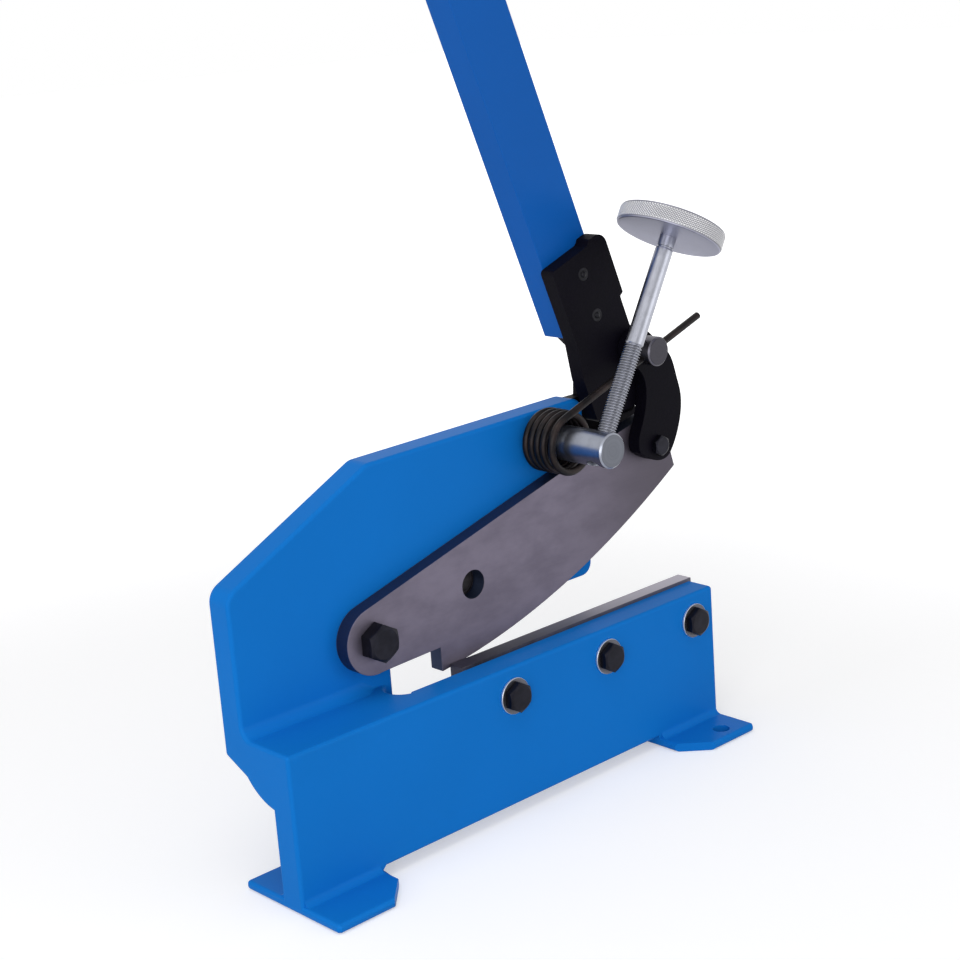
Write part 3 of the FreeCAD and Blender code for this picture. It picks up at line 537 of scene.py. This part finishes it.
def add_piece(made, name, body, slot, material, *nodes, place=None, smooth=35):
    """Turns a mesh into a finished object that rides on a body and stands for solid pieces."""
    if place is not None:
        bmesh.ops.transform(made, matrix=place, verts=made.verts)
    for face in made.faces:
        face.smooth = True
    for edge in made.edges:
        edge.smooth = len(edge.link_faces) == 2 and edge.calc_face_angle() < math.radians(smooth)
    data = bpy.data.meshes.new(name)
    made.to_mesh(data)
    loose = sum(1 for edge in made.edges if not edge.is_manifold)
    made.free()
    data.materials.append(material)
    piece = bpy.data.objects.new(name, data)
    bpy.context.scene.collection.objects.link(piece)
    even = piece.modifiers.new("even_faces", "WEIGHTED_NORMAL")
    even.keep_sharp = True
    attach(piece, body)
    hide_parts(*nodes)
    print("%-22s %6d faces, %d open edges" % (name, len(data.polygons), loose))


print("booleans and finished pieces are ready")

# %% [markdown]
# ## Weld fillets
# Paint runs smoothly over a ground weld, so an inner corner shows a hollow curve and no line. A
# fillet is one hollow section, extruded along the corner. Where the real one fades out, the last
# stretch is drawn to a point inside the corner. It sinks a little into both walls, because
# faces that only touch would leave the boolean in doubt.

# %% A hollow fillet
FILLET_SINK = 0.6 * MM
FILLET_STEPS = 14


def fillet(start, length, outward, radius, run_out=0.0):
    """A hollow quarter round that fills a corner along X and can run out into its corner."""
    turns = [math.radians(90 * step / FILLET_STEPS) for step in range(FILLET_STEPS + 1)]
    section = [start - FILLET_SINK * (outward + UP),
               start + radius * outward - FILLET_SINK * UP]
    section += [start + radius * ((1 - math.sin(turn)) * outward + (1 - math.cos(turn)) * UP)
                for turn in turns]
    section += [start + radius * UP - FILLET_SINK * outward]
    made = bmesh.new()
    face = made.faces.new([made.verts.new(point) for point in section])
    for step in (length - run_out, run_out):
        if step > 0:
            swept = bmesh.ops.extrude_face_region(made, geom=[face], use_keep_orig=True)["geom"]
            moved = [item for item in swept if isinstance(item, bmesh.types.BMVert)]
            old, face = face, [item for item in swept if isinstance(item, bmesh.types.BMFace)][0]
            if step == run_out:
                bmesh.ops.delete(made, geom=[old], context="FACES_ONLY")
            bmesh.ops.translate(made, verts=moved, vec=(step, 0, 0))
    if run_out:
        point = start + Vector((length, 0, 0)) - FILLET_SINK * (outward + UP)
        bmesh.ops.pointmerge(made, verts=moved, merge_co=point)
    bmesh.ops.recalc_face_normals(made, faces=made.faces)
    return made


print("fillets have", FILLET_STEPS, "facets")

# %% [markdown]
# ## The frame
# Bed beam, feet, joining block and plate are one welded and filled weldment: under the paint no
# seam shows, outer edges are rubbed round and inner corners carry a small fillet. Five separate
# bevelled boxes would show grooves where flush ends meet. So the five solids and the block's
# fillet are joined first, then the outer edges of the joined skin are rounded, and the feet's
# fillets come last, because a bevel would cut into their thin ends.

# %% Which edges are rubbed round
FRAME_PARTS = ("bed_beam", "left_foot", "right_foot", "joining_block", "frame_plate")
FEET = ("left_foot", "right_foot")
BOLT_SIDES = ("left", "middle", "right")
HOLE_AXES = [across("blade_bolt_" + side) for side in BOLT_SIDES]
HOLE_AXES += [BLADE_PIVOT, across("rod_bush"), SHAFT]
HOLE_REACH = 16 * MM
FOOT_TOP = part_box("left_foot")[1].z
RELIEF_HEIGHT = 1.6 * MM
FOOT_MARGIN = 4 * MM
NEAR = 0.1 * MM
beam_low, beam_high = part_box("bed_beam")


def on_foot_outline(middle):
    """Tells a foot's outline from its bolt holes, which lie well inside it."""
    for foot in FEET:
        low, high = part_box(foot)
        if low.x - MM < middle.x < high.x + MM:
            margin = min(middle.x - low.x, high.x - middle.x, middle.y - low.y,
                         high.y - middle.y)
            return margin < FOOT_MARGIN or abs(middle.y) < beam_high.y + 0.5 * MM
    return True


def is_round(edge):
    """Outer edges that are rubbed round: not bores, relief steps or the lower blade's seat."""
    middle = (edge.verts[0].co + edge.verts[1].co) / 2
    flat = Vector((middle.x, 0, middle.z))
    relief = middle.z < FOOT_TOP + RELIEF_HEIGHT and edge.calc_length() < RELIEF_HEIGHT
    blade_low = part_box("lower_blade")[0]
    seat = (abs(middle.y - blade_low.y) < NEAR and middle.x > blade_low.x
            and abs(middle.z - beam_high.z) < NEAR)
    bore = middle.z < FOOT_TOP + NEAR and not on_foot_outline(middle)
    clear = all((flat - centre).length > HOLE_REACH for centre in HOLE_AXES)
    return edge.calc_face_angle_signed() > 0 and clear and not (relief or seat or bore)


print("edges stay sharp round", len(HOLE_AXES), "holes; the feet are", FOOT_TOP / MM, "mm thick")

# %% [markdown]
# ## Welding and rounding it
# A real frame is tacked, welded, ground and then painted, in that order. The script follows the
# same order, and the result is one skin in place of five solid pieces.

# %% The welded frame
EDGE_ROUND = 2.5 * MM
BLOCK_FILLET = 8 * MM
BLOCK_RUN_OUT = 16 * MM
FOOT_FILLET = 5 * MM


def welded_frame():
    skin = clean_copy(FRAME_PARTS[0])
    for node in FRAME_PARTS[1:]:
        skin = combine(skin, clean_copy(node), "UNION")
    block_low, block_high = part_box("joining_block")
    corner = Vector((block_low.x, block_high.y, block_high.z))
    weld = fillet(corner, block_high.x - block_low.x - 3 * MM, -BACKWARD, BLOCK_FILLET,
                  BLOCK_RUN_OUT)
    skin = combine(skin, weld, "UNION")
    merge_flat(skin, 0.02 * MM)
    rounds = break_edges(skin, EDGE_ROUND, segments=4, wanted=is_round, clamp=False)
    for foot in FEET:
        low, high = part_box(foot)
        for side, outward in ((beam_low.y, -BACKWARD), (beam_high.y, BACKWARD)):
            corner = Vector((low.x + 2 * MM, side, high.z))
            weld = fillet(corner, high.x - low.x - 4 * MM, outward, FOOT_FILLET)
            skin = combine(skin, weld, "UNION")
    print("frame:", rounds, "outer edges rounded")
    return skin


add_piece(welded_frame(), "welded_frame", "frame", "blue_gloss_paint", BLUE, *FRAME_PARTS)

# %% [markdown]
# ## Blades
# Both blades are flat bars with one long working edge. The upper one is bowed, so that the two
# edges cross at nearly the same angle all along the cut. The solids have these outlines already:
# a copy with merged faces only needs its sharp edges broken by a few tenths of a millimetre.

# %% Upper and lower blade, rod bush
def dressed_copy(node, name, body, slot, material, width, segments=2, reshape=None):
    """A solid piece with broken edges, in place of the bare one."""
    made = clean_copy(node)
    if reshape is not None:
        reshape(made)
    break_edges(made, width, segments)
    add_piece(made, name, body, slot, material, node)


dressed_copy("upper_blade", "blade_upper", "upper_blade", "blade_steel", BLADE, 0.5 * MM)
dressed_copy("lower_blade", "blade_lower", "frame", "blade_steel", LOWER, 0.3 * MM)
# The rod bush takes the lower blade's finish, painted rim and far tones included.
dressed_copy("rod_bush", "bush_for_rod", "frame", "blade_steel", LOWER, 0.4 * MM)

# %% [markdown]
# ## Hexagons that look turned
# A bolt head is a hexagon bar whose corners were turned down to a cone on the lathe. That gives
# the curved line under each corner, and a bevel can't make it. So a six-sided prism meets a
# turned blank with a chamfer, and only what lies in both of them stays.

# %% Hexagons
TURNED_FACE = 0.445
CHAMFER_SLOPE = math.tan(math.radians(30))


def hexagon(flats, low, high, chamfer_high, corner_up=True):
    """A hexagon along Z, chamfered at its low end and, for a nut, at its high end too."""
    corner = flats / math.sqrt(3)
    made = bmesh.new()
    bmesh.ops.create_cone(made, cap_ends=True, segments=6, radius1=corner, radius2=corner,
                          depth=high - low, matrix=Matrix.Translation((0, 0, (low + high) / 2)))
    if not corner_up:
        bmesh.ops.rotate(made, verts=made.verts, matrix=Matrix.Rotation(math.pi / 6, 3, "Z"))
    face = TURNED_FACE * flats
    wide = corner + MM
    rise = (wide - face) * CHAMFER_SLOPE
    profile = [(0, low), (face, low), (wide, low + rise)]
    profile += [(wide, high - rise), (face, high)] if chamfer_high else [(wide, high)]
    return combine(made, lathe(profile + [(0, high)]), "INTERSECT")


print("a hexagon's turned face is", TURNED_FACE, "of its width across the flats")

# %% [markdown]
# ## Bolts, nuts and washers
# Every bolt comes through from the working side, so one function serves them all, with the
# shank's radius and the width across the flats of its own thread size. Lengths come from the
# solid piece. Washers and nuts take the shank's radius with a little play.

# %% Bolts, nuts and washers
M10, M12, M16 = 5 * MM, 6 * MM, 8 * MM  # radii of the shanks
WASHER_PLAY = 0.1 * MM
NUT_PLAY = 0.05 * MM
HEX_EDGE = 0.25 * MM


def hex_piece(made, node, name, body, place_at):
    break_edges(made, HEX_EDGE, segments=1, sharper_than=25)
    add_piece(made, name, body, "black_steel", OXIDE, node, place=stand(place_at, BACKWARD))


def front_bolt(node, name, body, place_at, shank, flats, head):
    """A bolt put in from the working side, its head toward the viewer."""
    low, high, _ = reach(node, place_at, BACKWARD)
    made = hexagon(flats, low, low + head, chamfer_high=False)
    edge = 0.6 * MM
    stem = lathe([(0, low + head / 2), (shank, low + head / 2), (shank, high - edge),
                  (shank - edge, high), (0, high)])
    hex_piece(combine(made, stem, "UNION"), node, name, body, place_at)


def back_nut(node, name, body, place_at, shank, flats, corner_up=True):
    low, high, _ = reach(node, place_at, BACKWARD)
    made = hexagon(flats, low, high, chamfer_high=True, corner_up=corner_up)
    bore, edge = shank + NUT_PLAY, 0.8 * MM
    hole = lathe([(0, low - edge), (bore + 2 * edge, low - edge), (bore, low + edge),
                  (bore, high - edge), (bore + 2 * edge, high + edge), (0, high + edge)])
    hex_piece(combine(made, hole, "DIFFERENCE"), node, name, body, place_at)


def ring(node, name, body, slot, material, place_at, shank):
    """A washer with broken edges."""
    low, high, radius = reach(node, place_at, BACKWARD)
    bore, edge = shank + WASHER_PLAY, 0.4 * MM
    made = lathe([(bore, low + edge), (bore + edge, low), (radius - edge, low),
                  (radius, low + edge), (radius, high - edge), (radius - edge, high),
                  (bore + edge, high), (bore, high - edge)], closed=True)
    add_piece(made, name, body, slot, material, node, place=stand(place_at, BACKWARD))


for side in BOLT_SIDES:
    centre = across("blade_bolt_" + side)
    front_bolt("blade_bolt_" + side, "bolt_" + side, "frame", centre, M12, flats=18 * MM,
               head=5.5 * MM)
    ring("blade_washer_" + side, "washer_" + side, "frame", "bright_steel", WASHER, centre, M12)
front_bolt("pivot_bolt", "bolt_of_blade_pivot", "frame", BLADE_PIVOT, M16, flats=22 * MM,
           head=10 * MM)
ring("pivot_washer", "washer_of_blade_pivot", "frame", "black_steel", OXIDE, BLADE_PIVOT, M16)
back_nut("pivot_nut", "nut_of_blade_pivot", "frame", BLADE_PIVOT, M16, flats=22 * MM)
front_bolt("link_bolt", "bolt_of_link", "link", LINK_BOLT, M10, flats=13 * MM, head=4 * MM)
ring("link_washer", "washer_of_link", "link", "black_steel", OXIDE, LINK_BOLT, M10)
back_nut("link_nut", "nut_of_link", "link", LINK_BOLT, M10, flats=13 * MM)
back_nut("shaft_nut", "nut_of_shaft", "shaft", SHAFT, M16, flats=24 * MM, corner_up=False)

# %% [markdown]
# ## Fulcrum shaft
# The shaft is bright turned steel. Its thick front carries the spring and is bored across for
# the hold-down screw, and a thinner journal behind it carries the lever's arm. One turned
# profile gives the steps and chamfers, and a second turned bar on the screw's axis is cut away.

# %% Fulcrum shaft with its cross bore
SCREW_BORE = 6.05 * MM
JOURNAL = 8 * MM


def drilled(made, place, bore_place, bore, half_length, steps=96):
    """Drills a round hole along another axis; both places are frame matrices."""
    drill = lathe([(0, -half_length), (bore, -half_length), (bore, half_length),
                   (0, half_length)], steps)
    bmesh.ops.transform(drill, matrix=place.inverted() @ bore_place, verts=drill.verts)
    return combine(made, drill, "DIFFERENCE")


def turned_shaft():
    low, high, radius = reach("fulcrum_shaft", SHAFT, BACKWARD)
    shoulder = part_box("pivot_arm")[0].y - 0.3 * MM
    edge = 1.3 * MM
    made = lathe([(0, low), (radius - edge, low), (radius, low + edge), (radius, shoulder),
                  (JOURNAL, shoulder), (JOURNAL, high - edge), (JOURNAL - edge, high), (0, high)],
                 steps=128)
    return drilled(made, stand(SHAFT, BACKWARD), stand(SCREW_FOOT, FEED), SCREW_BORE, 2 * radius)


add_piece(turned_shaft(), "shaft_of_lever", "shaft", "bright_steel", SHAFT_STEEL,
          "fulcrum_shaft", place=stand(SHAFT, BACKWARD))

# %% [markdown]
# ## Hold-down screw
# The screw is smooth above and threaded where it runs through the shaft. A thread is one small
# profile carried round and along at once: spin does just that when its dvec moves each step
# forward. The ridge lies on a core that is thinner than the rod by the thread's depth.

# %% Threads and helices
THREAD_PITCH = 1.75 * MM


def helix(made, turns, pitch, steps):
    """Carries a closed loop of edges round Z and along it, and closes both ends."""
    count = round(turns * steps)
    bmesh.ops.spin(made, geom=made.verts[:] + made.edges[:], axis=UP, cent=(0, 0, 0),
                   dvec=(0, 0, pitch / steps), angle=math.tau * count / steps, steps=count,
                   use_merge=False)
    bmesh.ops.holes_fill(made, edges=[edge for edge in made.edges if edge.is_boundary])
    bmesh.ops.recalc_face_normals(made, faces=made.faces)
    return made


def thread_ridge(root, crest, start, turns):
    """A thread's ridge between two radii; its flanks narrow toward the crest."""
    foot_width, crest_width = 0.42 * THREAD_PITCH, 0.08 * THREAD_PITCH
    profile = [(root, start - foot_width), (crest, start - crest_width),
               (crest, start + crest_width), (root, start + foot_width)]
    made = bmesh.new()
    corners = [made.verts.new((radius, 0, along)) for radius, along in profile]
    for first, second in zip(corners, corners[1:] + corners[:1]):
        made.edges.new((first, second))
    return helix(made, turns, THREAD_PITCH, 40)


print("the thread has a pitch of %.2f mm" % (THREAD_PITCH / MM))

# %% [markdown]
# ## The screw's rod
# The rod is turned in one piece: core below, full width above, then a narrow groove and a neck
# under the wheel, and a thin spigot on which the wheel is pressed. The ridge is a second closed
# shape in the same mesh, and it reaches a little into the core so that no gap can show.

# %% Hold-down screw
SPIGOT = 5.2 * MM
NECK = 5.6 * MM
GROOVE = 4.8 * MM


def turned_screw():
    low, high, radius = reach("hold_down_screw", SCREW_FOOT, FEED)
    wheel_low = reach("hold_down_wheel", SCREW_FOOT, FEED)[0]
    core, edge, seat = radius - THREAD_DEPTH, 0.8 * MM, wheel_low - 0.1 * MM
    made = lathe([(0, low), (core - edge, low), (core, low + edge), (core, THREAD_TOP),
                  (radius, THREAD_TOP + 1.2 * MM), (radius, wheel_low - 9.5 * MM),
                  (NECK, wheel_low - 8.2 * MM), (GROOVE, wheel_low - 8 * MM),
                  (GROOVE, wheel_low - 7.2 * MM), (NECK, wheel_low - 7 * MM),
                  (NECK, seat), (SPIGOT, seat), (SPIGOT, high - edge),
                  (SPIGOT - edge, high), (0, high)])
    start = low + 1.2 * MM
    ridge = thread_ridge(core - 0.1 * MM, radius, start, (THREAD_TOP - start) / THREAD_PITCH)
    data = bpy.data.meshes.new("thread")
    ridge.to_mesh(data)
    ridge.free()
    made.from_mesh(data)
    bpy.data.meshes.remove(data)
    return made


add_piece(turned_screw(), "screw_of_hold_down", "hold_down", "bright_steel", SCREW_STEEL,
          "hold_down_screw", place=stand(SCREW_FOOT, FEED), smooth=28)

# %% [markdown]
# ## Knurled wheel
# Fingers need grip, so two sets of crossed grooves are rolled into the rim. Cutting them one by
# one would be slow. The rim is turned as a fine grid instead, every second corner is
# lifted as on a chess board, and each square is folded between its two low corners. That leaves
# the small pyramids of a real knurl.

# %% Hold-down wheel
KNURLS_ROUND = 240
KNURL_ROWS = 12
WHEEL_BORE = 5.25 * MM


def knurled_wheel():
    low, high, radius = reach("hold_down_wheel", SCREW_FOOT, FEED)
    edge = 1.2 * MM
    root = radius - KNURL_DEPTH
    bottom, top = low + edge, high - edge
    rows = [(root, bottom + (top - bottom) * row / KNURL_ROWS) for row in range(KNURL_ROWS + 1)]
    under = [(WHEEL_BORE, low), (radius - 1.6 * edge, low), (root - 0.4 * edge, low + 0.25 * edge)]
    over = [(root - 0.3 * edge, high - 0.3 * edge), (root - 1.1 * edge, high), (WHEEL_BORE, high)]
    made = lathe(under + rows + over, KNURLS_ROUND, closed=True)
    lifted = set()
    for vertex in made.verts:
        row = (vertex.co.z - bottom) / (top - bottom) * KNURL_ROWS
        if -0.5 < row < KNURL_ROWS + 0.5 and vertex.co.xy.length > root - 0.1 * MM:
            turn = math.atan2(vertex.co.y, vertex.co.x) / math.tau * KNURLS_ROUND
            if (round(turn) + round(row)) % 2 == 0 and 0 < round(row) < KNURL_ROWS:
                vertex.co.xy *= radius / root
                lifted.add(vertex)
    for face in made.faces[:]:
        lows = [vertex for vertex in face.verts if vertex not in lifted]
        if len(face.verts) == 4 and len(lows) == 2:
            bmesh.utils.face_split(face, *lows)
    print("knurl points:", len(lifted))
    return made


add_piece(knurled_wheel(), "wheel_of_hold_down", "hold_down", "bright_steel", WHEEL_ZINC,
          "hold_down_wheel", place=stand(SCREW_FOOT, FEED), smooth=22)

# %% [markdown]
# ## Return spring
# A torsion spring lifts the lever. It is wound of close turns round the shaft, and its last
# turn leaves as a straight leg through the stud. A round section carried along a helix gives
# the coil, which starts on the frame plate and is wound toward the viewer.

# %% The spring's coil
WIRE_RADIUS = 2.49 * MM
COIL_RADIUS = 19.0 * MM
COIL_PITCH = 5.4 * MM
COIL_TURNS = 4
COIL_STEPS = 56
PLATE_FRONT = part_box("frame_plate")[0].y


def wire_section():
    """A ring of edges with the wire's radius, standing where the coil begins."""
    made = bmesh.new()
    bmesh.ops.create_circle(made, segments=16, radius=WIRE_RADIUS,
                            matrix=Matrix.Translation((COIL_RADIUS, 0, 0))
                            @ Matrix.Rotation(math.pi / 2, 4, "X"))
    return made


coil = helix(wire_section(), COIL_TURNS, -COIL_PITCH, COIL_STEPS)
coil_place = stand(SHAFT + BACKWARD * (PLATE_FRONT - WIRE_RADIUS), BACKWARD)
add_piece(coil, "coil_of_spring", "frame", "spring_steel", WIRE, "return_spring",
          place=coil_place, smooth=60)

# %% [markdown]
# ## The spring's leg
# The leg goes with the lever while the coil stays on the frame, so they are two pieces that have
# to read as one wire. The leg's line touches the coil's circle and aims at the hole in the stud.
# From where it touches, the same section is spun back as a loop: level at first, so that it
# stays clear of the coil when the lever is down, and then at the coil's own pitch.

# %% The leg and its loop
LEG_HOLE = Vector((STUD.x, 0, STUD.z - 1.4 * MM))
LEG_DEPTH = box_middle("spring_leg").y
LEG_LOOP = ((60, 10, 0), (190, 34, COIL_PITCH))  # degrees, steps and pitch of each stretch


def leg_of_spring():
    """The straight leg with the loop that it leaves, at the coil's own radius."""
    away = LEG_HOLE - SHAFT
    slope = math.atan2(away.z, away.x) - math.asin(COIL_RADIUS / away.length)
    forward = Vector((math.cos(slope), 0, math.sin(slope)))
    touch = SHAFT + COIL_RADIUS * Vector((-math.sin(slope), 0, math.cos(slope)))
    points = [vertex.co for vertex in frame["nodes"]["spring_leg"].data.vertices]
    tip = max(points, key=lambda point: point.x)
    place = stand(SHAFT + BACKWARD * LEG_DEPTH, BACKWARD, sideways=touch - SHAFT)
    local_forward = place.to_3x3().inverted() @ forward
    made = wire_section()
    start = made.edges[:]
    extruded = bmesh.ops.extrude_edge_only(made, edges=start)["geom"]
    moved = [item for item in extruded if isinstance(item, bmesh.types.BMVert)]
    bmesh.ops.translate(made, verts=moved, vec=local_forward * (tip - touch).dot(forward))
    turning = 1 if local_forward.y < 0 else -1
    loop_end = start + [vertex for vertex in made.verts if vertex not in moved]
    for degrees, steps, pitch in LEG_LOOP:
        rise = pitch * degrees / 360 / steps
        loop_end = bmesh.ops.spin(made, geom=loop_end, axis=UP, cent=(0, 0, 0),
                                  dvec=(0, 0, rise), angle=turning * math.radians(degrees),
                                  steps=steps, use_merge=False)["geom_last"]
    bmesh.ops.holes_fill(made, edges=[edge for edge in made.edges if edge.is_boundary])
    bmesh.ops.recalc_face_normals(made, faces=made.faces)
    break_edges(made, 0.4 * MM, sharper_than=60)
    return made, place


leg, leg_place = leg_of_spring()
add_piece(leg, "leg_of_spring", "lever", "spring_steel", WIRE, "spring_leg", place=leg_place,
          smooth=60)

# %% [markdown]
# ## Lever
# The bar is a plain rectangle with edges left slightly round from rolling. The socket is
# forged, so all of its edges are softer, and the arm behind it is cut from plate. Each is a copy
# of its solid with its own width of rounding, and that alone tells the processes apart. The
# arm's lowest corner is drawn out first, as a plate is cut, so that no light shows past it.

# %% Bar, socket and arm
def square_heel(arm):
    """Brings the arm's lowest corner straight under its widest one."""
    low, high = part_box("pivot_arm")
    heel = [vertex for vertex in arm.verts
            if vertex.co.z < low.z + MM and vertex.co.x > high.x - 10 * MM]
    bmesh.ops.translate(arm, verts=heel, vec=(high.x - 0.1 * MM - heel[0].co.x, 0, 0))


dressed_copy("handle_bar", "bar_of_lever", "lever", "blue_gloss_paint", BAR_BLUE, 1.2 * MM, 3)
dressed_copy("handle_socket", "socket_of_lever", "lever", "black_paint", BLACK, 1.0 * MM, 3)
dressed_copy("pivot_arm", "arm_of_lever", "lever", "black_paint", BLACK, 0.9 * MM,
             reshape=square_heel)

# %% [markdown]
# ## The socket's screws
# Two rivet-like screws hold the bar in its socket. Each head is a low dome on a thin rim. The
# dome is a quarter of an ellipse, so sine and cosine of one angle give its profile.

# %% Domed screws
RIVET_SHANK = 3.5 * MM


def domed_screw(node, name):
    centre = across(node)
    low, high, radius = reach(node, centre, BACKWARD)
    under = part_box("handle_socket")[0].y
    crown, rim = 0.5 * radius, under - 0.3 * MM
    turns = [math.radians(degrees) for degrees in range(0, 91, 15)]
    dome = [(crown * math.sin(turn), rim - (rim - low) * math.cos(turn)) for turn in turns]
    dome += [(radius - 0.3 * MM, rim), (radius, under)]
    made = lathe(dome + [(RIVET_SHANK, under), (RIVET_SHANK, high), (0, high)], steps=48)
    add_piece(made, name, "lever", "black_steel", RIVET, node, place=stand(centre, BACKWARD))


domed_screw("socket_screw_upper", "rivet_upper")
domed_screw("socket_screw_lower", "rivet_lower")

# %% [markdown]
# ## Stud and link
# The stud joins socket, arm and link, and its bright end is drilled across for the spring's leg.
# It is turned and drilled as the shaft was. The link is a crescent cut from bar, curved to pass
# round the blade's ear, and a copy of its solid with broken edges is enough.

# %% Stud and crescent link
STUD_RADIUS = 10 * MM


def turned_stud():
    low, high, _ = reach("link_stud", STUD, BACKWARD)
    edge = 1.2 * MM
    made = lathe([(0, low), (STUD_RADIUS - edge, low), (STUD_RADIUS, low + edge),
                  (STUD_RADIUS, high - edge), (STUD_RADIUS - edge, high), (0, high)])
    forward = leg_place.to_3x3() @ Vector((0, -1, 0))
    hole_place = stand(LEG_HOLE + BACKWARD * LEG_DEPTH, forward, sideways=BACKWARD)
    return drilled(made, stand(STUD, BACKWARD), hole_place, WIRE_RADIUS + 0.05 * MM,
                   2 * STUD_RADIUS, steps=48)


add_piece(turned_stud(), "stud_of_link", "lever", "plain_steel", STUD_STEEL, "link_stud",
          place=stand(STUD, BACKWARD))
dressed_copy("crescent_link", "link_to_blade", "link", "black_paint", BLACK, 0.8 * MM)

# %% [markdown]
# ## Camera
# The photograph shows the shear from its left front, a little from above. Its straight edges
# gave the place, the turn and the focal length of the camera that took it. Blender's camera
# takes the focal length in millimetres of a sensor, and its shift stands for a crop that left
# the middle of the lens beside the middle of the picture.

# %% Camera
CAMERA_AZIMUTH, CAMERA_HEIGHT, CAMERA_ROLL = -42.85, 14.77, -3.98
CAMERA_FROM_BED = Vector((-0.58321, -0.85456, 0.53381))
PHOTO_SIZE = 960
FOCAL_PIXELS = 1897.03
PHOTO_CENTRE = (521.93, 465.22)


def camera_turn(azimuth, elevation, roll):
    """A rotation for a camera that looks at the working side from an azimuth."""
    azimuth, elevation, roll = [math.radians(angle) for angle in (azimuth, elevation, roll)]
    back = Vector((math.sin(azimuth) * math.cos(elevation),
                   -math.cos(azimuth) * math.cos(elevation), math.sin(elevation)))
    right = Vector((math.cos(azimuth), math.sin(azimuth), 0))
    above = back.cross(right)
    rows = (math.cos(roll) * right + math.sin(roll) * above,
            -math.sin(roll) * right + math.cos(roll) * above, back)
    return Matrix(rows).transposed().to_4x4()


lens = bpy.data.cameras.new("photo_camera")
lens.sensor_width = 36
lens.lens = lens.sensor_width * FOCAL_PIXELS / PHOTO_SIZE
lens.shift_x = (PHOTO_SIZE / 2 - PHOTO_CENTRE[0]) / PHOTO_SIZE
lens.shift_y = (PHOTO_CENTRE[1] - PHOTO_SIZE / 2) / PHOTO_SIZE
camera = bpy.data.objects.new("photo_camera", lens)
bpy.context.scene.collection.objects.link(camera)
camera_place = CAMERA_FROM_BED + Vector((beam_low.x, 0, 0))
camera.matrix_world = (Matrix.Translation(camera_place)
                       @ camera_turn(CAMERA_AZIMUTH, CAMERA_HEIGHT, CAMERA_ROLL))
bpy.context.scene.camera = camera
print("camera at", camera_place, "with a %.1f mm lens" % lens.lens)

# %% [markdown]
# ## Studio
# The photograph was taken in a white studio. Its white comes from the floor and the world
# themselves, which show white to the camera and in reflections but light the object less, so no
# paint is washed out. The floor glows less near the shear, and keeps a soft shadow there.

# %% Floor and world
FLOOR_DROP = 0.2 * MM
world = bpy.data.worlds.new("studio")
bpy.context.scene.world = world
world.use_nodes = True
air = Nodes(world.node_tree)
background = world.node_tree.nodes["Background"]
background.inputs["Color"].default_value = (1, 1, 1, 1)
air.feed(background.inputs["Strength"], 0.5 + 0.5 * air.seen())

floor_paint = Finish("white_floor", Roughness=0.9, Specular_IOR_Level=0.1, Emission_Strength=1.0)
floor_paint.set("Base Color", (0.72, 0.72, 0.73, 1))
from_middle = floor_paint.vector("LENGTH", floor_paint.place(), output="Value")
glow = floor_paint.seen() * (0.4 + 0.6 * from_middle.between(0.45, 1.6))
floor_paint.set("Emission Color", floor_paint.blend(glow, (0, 0, 0), (1, 1, 1)))
plane = bmesh.new()
bmesh.ops.create_grid(plane, x_segments=1, y_segments=1, size=9,
                      matrix=Matrix.Translation((0, 0, -FLOOR_DROP)))
floor_data = bpy.data.meshes.new("floor")
plane.to_mesh(floor_data)
plane.free()
floor_data.materials.append(floor_paint.material)
floor = bpy.data.objects.new("floor", floor_data)
bpy.context.scene.collection.objects.link(floor)
print("white floor and world")

# %% [markdown]
# ## Lamps
# Large soft lamps give a plain level of light with no hard shadow. The strongest stands at the
# left front, a weaker one behind it lights the frame's left ends, one hangs above, and a faint
# one at the right lifts the dark sides of the socket and the link.

# %% Lamps
SHEAR_MIDDLE = Vector((0.17, 0, 0.3))


def soft_lamp(name, place, width, watts):
    """A square area lamp that faces the middle of the shear."""
    lamp = bpy.data.lights.new(name, "AREA")
    lamp.size = width
    lamp.energy = watts
    made = bpy.data.objects.new(name, lamp)
    made.location = place
    toward = SHEAR_MIDDLE - Vector(place)
    made.rotation_euler = toward.to_track_quat("-Z", "Y").to_euler()
    bpy.context.scene.collection.objects.link(made)
    print(name, "%.1f m wide, %d W" % (width, watts))


soft_lamp("lamp_left", (-1.5, -1.3, 0.7), width=1.3, watts=18)
soft_lamp("lamp_side", (-2.0, 0.4, 0.8), width=0.6, watts=5)
soft_lamp("lamp_above", (-0.5, -0.3, 2.2), width=1.4, watts=11)
soft_lamp("lamp_right", (1.0, -1.7, 0.35), width=1.2, watts=6)
bpy.context.scene.view_settings.view_transform = "Standard"
